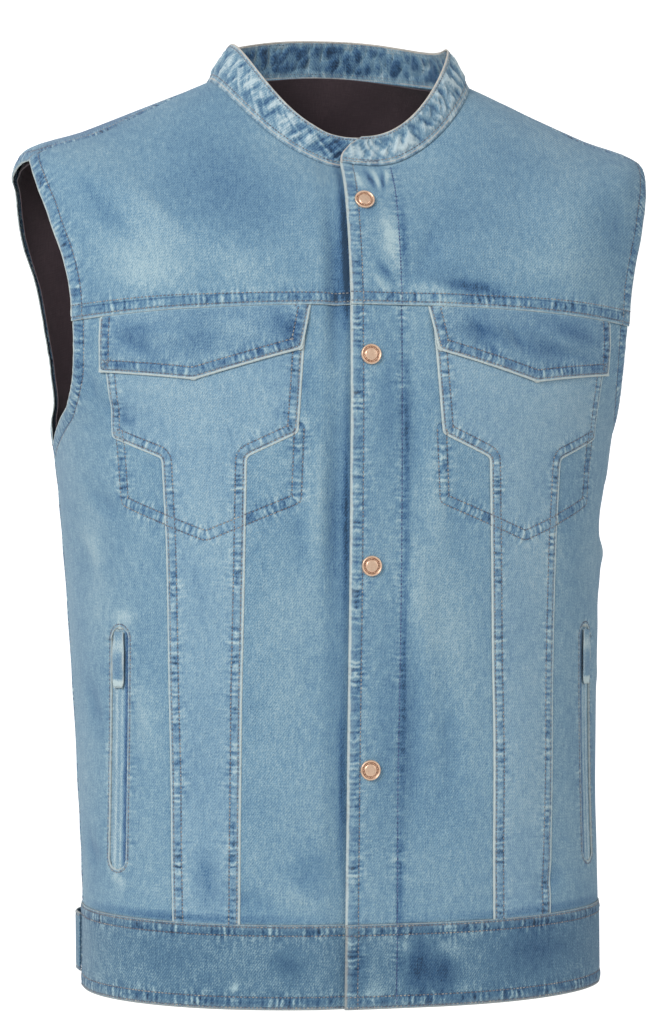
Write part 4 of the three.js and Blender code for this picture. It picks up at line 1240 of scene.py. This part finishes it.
# The puckers lean towards the front on each side; a second set crosses the first
lean = np.interp(
    collar_s, [0, 90, NECK_HALF, NECK_ROUND - 90, NECK_ROUND], [0.9, 0.7, 0, -0.7, -0.9])
first_swell = swelling(collar_s, from_foot, 4.3, 15.0, lean, 3.7)
second_swell = swelling(collar_s, from_foot, 5.0, 10.0, -0.9 * lean + 0.4, 9.2)
slow_swell = swelling(collar_s, from_foot, 14.0, 16.0, 0.5 * lean, 5.1)
ridge = np.maximum(smoothstep(first_swell, 0.15, 0.95), 0.75 * smoothstep(second_swell, 0.2, 0.95))
hollow = np.maximum(smoothstep(-first_swell, 0.15, 0.9), 0.7 * smoothstep(-second_swell, 0.2, 0.9))
away = smoothstep(np.minimum(from_foot, from_top), 2.6, 6.5)
rolled = 1 - np.clip(np.minimum(from_top, from_end) / ROLL_WIDTH, 0, 1)
roll = ROLL_HEIGHT * (1 - np.sqrt(1 - np.clip(rolled, 0, 1) ** 2))
puckered = (1.5 * ridge - 1.1 * hollow + 0.5 * slow_swell) * away - 0.3 * (1 - away)
collar_out = COLLAR_THICKNESS + puckered - roll - drop_under(collar_s)
along = collar_middle(collar_s + 3.0, collar_up) - collar_middle(collar_s - 3.0, collar_up)
collar_points = (collar_middle(collar_s, collar_up)
                 + collar_outward(along, collar_s) * collar_out[..., None])
SURFACES["collar_band_cloth"] = (collar_points, None)

collar_edge = np.minimum(np.minimum(from_top, np.abs(from_foot) + FOOT_COVERED), from_end)
collar_rows = np.minimum(np.abs(from_foot - COLLAR_ROW), np.abs(from_top - COLLAR_ROW))
worn_end = 1.3 * streak(collar_s - 16, 24) * streak(collar_up - 0.38, 0.3)
# Painted shade round the back of the neck and where the right end passes under the left end; the
# puckers get painted shade in their hollows and paler ridges, partly real wear and partly painted
# highlight
shaded = 0.9 * streak(collar_s - NECK_HALF, 90) + 1.6 * streak(collar_s - NECK_ROUND + 14, 12)
collar_wash_and_shade = 1.5 * ridge - 1.5 * hollow + 0.35 * slow_swell + 0.05 + worn_end - shaded
collar = wall(
    "collar_band_cloth", collar_points, np.stack([collar_s, NECK_SEAM + from_foot], -1),
    {"edge": np.maximum(collar_edge, 0), "rows": collar_rows + 0.4, "run": collar_s,
     "rope": 0.3 * (1 - away), "wash_and_shade": collar_wash_and_shade * (0.45 + 0.55 * away)},
    COLLAR_THICKNESS)
dressed(collar, "collar_band", "denim_collar", COLLAR_DENIM)

# One row near the foot and one near the upper edge, outside and inside
collar_run = np.linspace(collar_start + 2, collar_end - 3, 260)
for height in (COLLAR_ROW, COLLAR_HEIGHT - COLLAR_ROW):
    places = collar_middle(collar_run, np.full(len(collar_run), height / COLLAR_HEIGHT))
    outward = collar_outward(np.gradient(places, axis=0), collar_run)
    SEWN.append((("collar_band_cloth",), places + outward * 7, outward))
    inside = places - outward * (drop_under(collar_run) + 0.1)[:, None]
    SEWN.append(((), inside, -outward))


# Snap fasteners. Pressed copper caps with a rounded rim and a sunk ring of small beads round a
# flat middle: four down the closure and one on each waist tab.

SNAP_PROFILE = [
    # radius, height above the cloth, in millimetres
    (0.0, 1.65), (3.8, 1.6), (4.3, 1.45), (4.5, 1.1), (5.9, 1.1), (6.1, 1.45), (6.4, 1.8),
    (6.8, 1.95), (7.15, 1.75), (7.4, 1.3), (7.5, 0.7), (7.4, 0.0)]
GROOVE, GROOVE_FLOOR, GROOVE_TOP = (4.4, 6.0), 1.1, 1.42
BEADS, BEAD_RING, BEAD_RADIUS = 26, 5.2, 0.42
SNAP_SEGMENTS = 56
SNAP_LEVELS = (-102, -214, -367, -515)
SNAP_FROM_POINT = 17.0


def copper_finish():
    finish = Finish("copper_cap")
    place = finish.own_place()
    cloud = finish.blots(place, 900.0, 3.0)
    brush = finish.blots(finish.node("ShaderNodeMapping", {}, {
        "Vector": place, "Scale": (9000, 400, 400)}).outputs[0], 1.0, 1.0)
    groove = finish.reading("groove")
    colour = finish.ramp(0.62 + cloud * 0.9 + brush * 0.2 - groove * 0.5, [
        (0.0, paint(122, 86, 70)), (1.0, paint(246, 222, 198)), (0.5, paint(230, 192, 164))])
    return finish.surface(
        colour, 0.36 + cloud * 0.2 + groove * 0.1, brush * 0.02 + cloud * 0.05, {"Metallic": 0.7})


COPPER = copper_finish()


def snap_cap(name, node, foot, axis):
    """A cap standing on the cloth at foot, in millimetres, its middle along axis."""
    bm = bmesh.new()
    drawn = [bm.verts.new((radius, 0, height)) for radius, height in SNAP_PROFILE]
    for ends in zip(drawn, drawn[1:]):
        bm.edges.new(ends)
    bmesh.ops.spin(
        bm, geom=bm.verts[:] + bm.edges[:], cent=(0, 0, 0), axis=(0, 0, 1), angle=2 * math.pi,
        steps=SNAP_SEGMENTS, use_merge=True)
    bmesh.ops.remove_doubles(bm, verts=bm.verts[:], dist=0.01)
    rim = [e for e in bm.edges if e.is_boundary]
    bmesh.ops.contextual_create(bm, geom=rim)
    bmesh.ops.recalc_face_normals(bm, faces=bm.faces[:])
    groove_layer = bm.verts.layers.float.new("groove")
    for v in bm.verts:
        radius = math.hypot(v.co.x, v.co.y)
        in_groove = GROOVE[0] < radius < GROOVE[1] and v.co.z < GROOVE_TOP
        v[groove_layer] = 1.0 if in_groove else 0.0
    for k in range(BEADS):
        turn = 2 * math.pi * k / BEADS
        at = Vector((BEAD_RING * math.cos(turn), BEAD_RING * math.sin(turn), GROOVE_FLOOR))
        bmesh.ops.create_icosphere(
            bm, subdivisions=1, radius=BEAD_RADIUS, matrix=Matrix.Translation(at))
    stood = Vector(axis).to_track_quat("Z", "Y").to_matrix().to_4x4()
    bmesh.ops.transform(
        bm, verts=bm.verts[:],
        matrix=Matrix.Scale(MM, 4) @ Matrix.Translation(Vector(foot)) @ stood)
    mesh = mesh_of(bm, name)
    mesh.shade_smooth()
    dressed(placed(name, mesh), node, "copper", COPPER)


def snap_seat(s, level, out):
    """The place and the direction of a snap on the cloth."""
    place = on_cloth(np.array([s]), np.array([level]), out)[0]
    return place, cloth_axes(np.array([float(s)]), np.array([float(level)]))[2][0]


for number, level in enumerate(SNAP_LEVELS, 1):
    out = YOKE_OUT if level > YOKE_SEAM else DENIM_OUT
    lifted = float(front_out(1, np.array([0.0]), np.array([level]), out)[0])
    snap_cap(f"snap_{number}_cap", f"snap_{number}", *snap_seat(0, level, lifted))
for side, label in SIDES.items():
    snap_cap(f"tab_snap_{label}_cap", f"tab_snap_{label}",
             *snap_seat(side * (TAB_POINT - SNAP_FROM_POINT), TAB_MIDDLE, TAB_OUT))


# Stitching. Rows of tan cotton topstitch along every seam, and one blue row down the placket, each
# stitch its own small bead of thread sunk a little into the cloth.

STITCH_PITCH, STITCH_LENGTH, STITCH_WIDTH, STITCH_HEIGHT = 2.9, 2.6, 1.15, 0.7
STITCH_SINK = 0.05


def thread_finish(name, dark, middle, pale):
    finish = Finish(name)
    fade = finish.blots(finish.own_place(), 60.0, 2.0)
    fleck = finish.blots(finish.own_place(), 700.0, 1.0)
    colour = finish.ramp(fade * 1.4 + fleck * 2.6 + 0.5, [
        (0.0, paint(*dark)), (1.0, paint(*pale)), (0.5, paint(*middle))])
    return finish.surface(colour, 0.7 + fleck * 0.2, fleck * 0.1, {})


TAN_THREAD = thread_finish("tan_thread", (80, 86, 102), (118, 120, 130), (170, 168, 160))
BLUE_THREAD = thread_finish("blue_thread", (48, 62, 104), (70, 90, 134), (108, 130, 160))


def ground(names):
    """The outer faces of panels, for finding where a stitch enters the cloth."""
    vertices, faces = [], []
    for name in names:
        points, holes = SURFACES[name]
        count_down, count_across = points.shape[:2]
        index = np.arange(count_down * count_across).reshape(count_down, count_across) + len(vertices)
        quads = np.stack([index[:-1, :-1], index[1:, :-1], index[1:, 1:], index[:-1, 1:]], -1)
        faces.extend((quads[~holes] if holes is not None else quads.reshape(-1, 4)).tolist())
        vertices.extend(points.reshape(-1, 3).tolist())
    return BVHTree.FromPolygons(vertices, faces)


def bead_of_thread():
    """The corners and faces of one stitch, lying along X with Z outwards."""
    bm = bmesh.new()
    bmesh.ops.create_icosphere(bm, subdivisions=1, radius=0.5)
    bmesh.ops.scale(bm, vec=(STITCH_LENGTH, STITCH_WIDTH, STITCH_HEIGHT), verts=bm.verts[:])
    corners = np.array([v.co[:] for v in bm.verts])
    faces = np.array([[v.index for v in f.verts] for f in bm.faces])
    bm.free()
    return corners, faces


STITCH_CORNERS, STITCH_FACES = bead_of_thread()


def stitches_along(names, places, normals, tree):
    """Frames of the stitches along one row: place, direction along the row, direction outwards."""
    step = np.linalg.norm(np.diff(places, axis=0), axis=1)
    run = np.concatenate([[0], np.cumsum(step)])
    at = np.arange(STITCH_PITCH * 0.6, run[-1], STITCH_PITCH)
    even, ahead, behind, outward = (
        np.stack([np.interp(at + reach, run, values[:, c]) for c in range(3)], -1)
        for values, reach in ((places, 0), (places, 1), (places, -1), (normals, 0)))
    frames = []
    for here, forward, normal in zip(even, ahead - behind, outward):
        if tree is not None:
            found, face_normal, _, _ = tree.ray_cast(Vector(here), -Vector(normal), 2 * SEWING_REACH)
            if found is None:
                continue
            here = np.array(found)
            facing = np.array(face_normal)
            normal = facing * np.sign((facing * normal).sum())
        across_row = np.cross(normal, forward)
        across_row /= np.linalg.norm(across_row)
        normal = normal / np.linalg.norm(normal)
        frames.append((here - normal * STITCH_SINK, np.cross(across_row, normal), across_row, normal))
    return frames


def sew(name, rows, thread_material=TAN_THREAD):
    """One piece with all the stitches of some rows."""
    frames = []
    trees = {}
    for names, places, normals in rows:
        if names and names not in trees:
            trees[names] = ground(names)
        frames.extend(stitches_along(names, places, normals, trees.get(names)))
    centre, along_row, across_row, normal = (np.array(part) for part in zip(*frames))
    corners = (centre[:, None] + STITCH_CORNERS[None, :, :1] * along_row[:, None]
               + STITCH_CORNERS[None, :, 1:2] * across_row[:, None]
               + STITCH_CORNERS[None, :, 2:] * normal[:, None])
    faces = STITCH_FACES + (np.arange(len(frames)) * len(STITCH_CORNERS))[:, None, None]
    mesh = bpy.data.meshes.new(name)
    mesh.from_pydata((corners.reshape(-1, 3) * MM).tolist(), [], faces.reshape(-1, 3).tolist())
    mesh.shade_smooth()
    dressed(placed(name, mesh), None, "denim", thread_material)


def belongs(names, *words):
    return any(word in name for name in names for word in words)


groups = {
    "stitching_band": ("band_front", "band_back", "waist_tab"),
    "stitching_back": ("back_panel",),
    "stitching_front_left": ("front_left", "flap_left", "pull_left"),
    "stitching_front_right": ("front_right", "flap_right", "pull_right"),
}
unsewn = SEWN
for name, words in groups.items():
    sew(name, [row for row in unsewn if belongs(row[0], *words)])
    unsewn = [row for row in unsewn if not belongs(row[0], *words)]
sew("stitching_collar", unsewn)
placket_names = tuple(f"{kind}_front_left_cloth" for kind in ("yoke", "centre", "band"))
sew("stitching_placket", [(placket_names, *route_over(PLACKET_ROW))], BLUE_THREAD)


# Floor, light and camera. A pale floor with a white wall far behind, soft studio light from the
# wearer's right, and the photograph's view.

FLOOR_DROP, FLOOR_RADIUS = 0.45, 1.9
WALL_PLACE, WALL_SIZE = (-0.9, 5.2, 0.2), (7.0, 5.4)


def plain_finish(name, colour, glow):
    finish = Finish(name)
    mottle = finish.blots(finish.own_place(), 3.0, 2.0) + 0.5
    shades = [(0.0, colour), (1.0, tuple(0.96 * c for c in colour))]
    return finish.surface(finish.ramp(mottle, shades), 0.8, None, {
        "Emission Color": (1.0, 1.0, 1.0), "Emission Strength": glow})


def backdrop(name, bm, material):
    mesh = mesh_of(bm, name)
    mesh.materials.append(material)
    placed(name, mesh)


floor_mesh = bmesh.new()
bmesh.ops.create_circle(floor_mesh, cap_ends=True, segments=96, radius=FLOOR_RADIUS)
bmesh.ops.translate(floor_mesh, vec=(0, 0, HEM * MM - FLOOR_DROP), verts=floor_mesh.verts[:])
backdrop("floor", floor_mesh, plain_finish("floor_paint", (0.86, 0.86, 0.85), 0.0))
wall_mesh = bmesh.new()
bmesh.ops.create_grid(wall_mesh, x_segments=1, y_segments=1, size=0.5)
wall_stand = (Matrix.Translation(WALL_PLACE) @ Matrix.Rotation(math.pi / 2, 4, "X")
              @ Matrix.Diagonal((*WALL_SIZE, 1, 1)))
bmesh.ops.transform(wall_mesh, verts=wall_mesh.verts[:], matrix=wall_stand)
backdrop("white_wall", wall_mesh, plain_finish("wall_paint", (0.9, 0.9, 0.9), 0.75))



def aimed(name, data, place, target):
    made = placed(name, data)
    made.location = place
    made.rotation_euler = (Vector(target) - Vector(place)).to_track_quat("-Z", "Y").to_euler()
    return made


camera = bpy.data.cameras.new("camera")
camera.lens = 115.7
camera.sensor_width = 36
bpy.context.scene.camera = aimed(
    "camera", camera, (-0.4415, -2.462, -0.328), (-0.0074, 0, -0.328))

CHEST = (0, 0, -0.35)
for name, place, size, power in (
        ("key", (-1.9, -2.0, 1.0), 1.0, 58), ("fill", (2.2, -1.8, 0.6), 1.8, 17),
        ("behind", (-0.6, 2.4, 1.2), 1.6, 22)):
    lamp = bpy.data.lights.new(name, "AREA")
    lamp.shape = "RECTANGLE"
    lamp.size = lamp.size_y = size
    lamp.energy = power
    aimed(name, lamp, place, CHEST)
world = bpy.data.worlds.new("studio")
world.use_nodes = True
sky = world.node_tree.nodes["Background"].inputs
sky["Color"].default_value = (1, 1, 1, 1)
sky["Strength"].default_value = 0.48
bpy.context.scene.world = world
bpy.context.scene.view_settings.view_transform = "Standard"
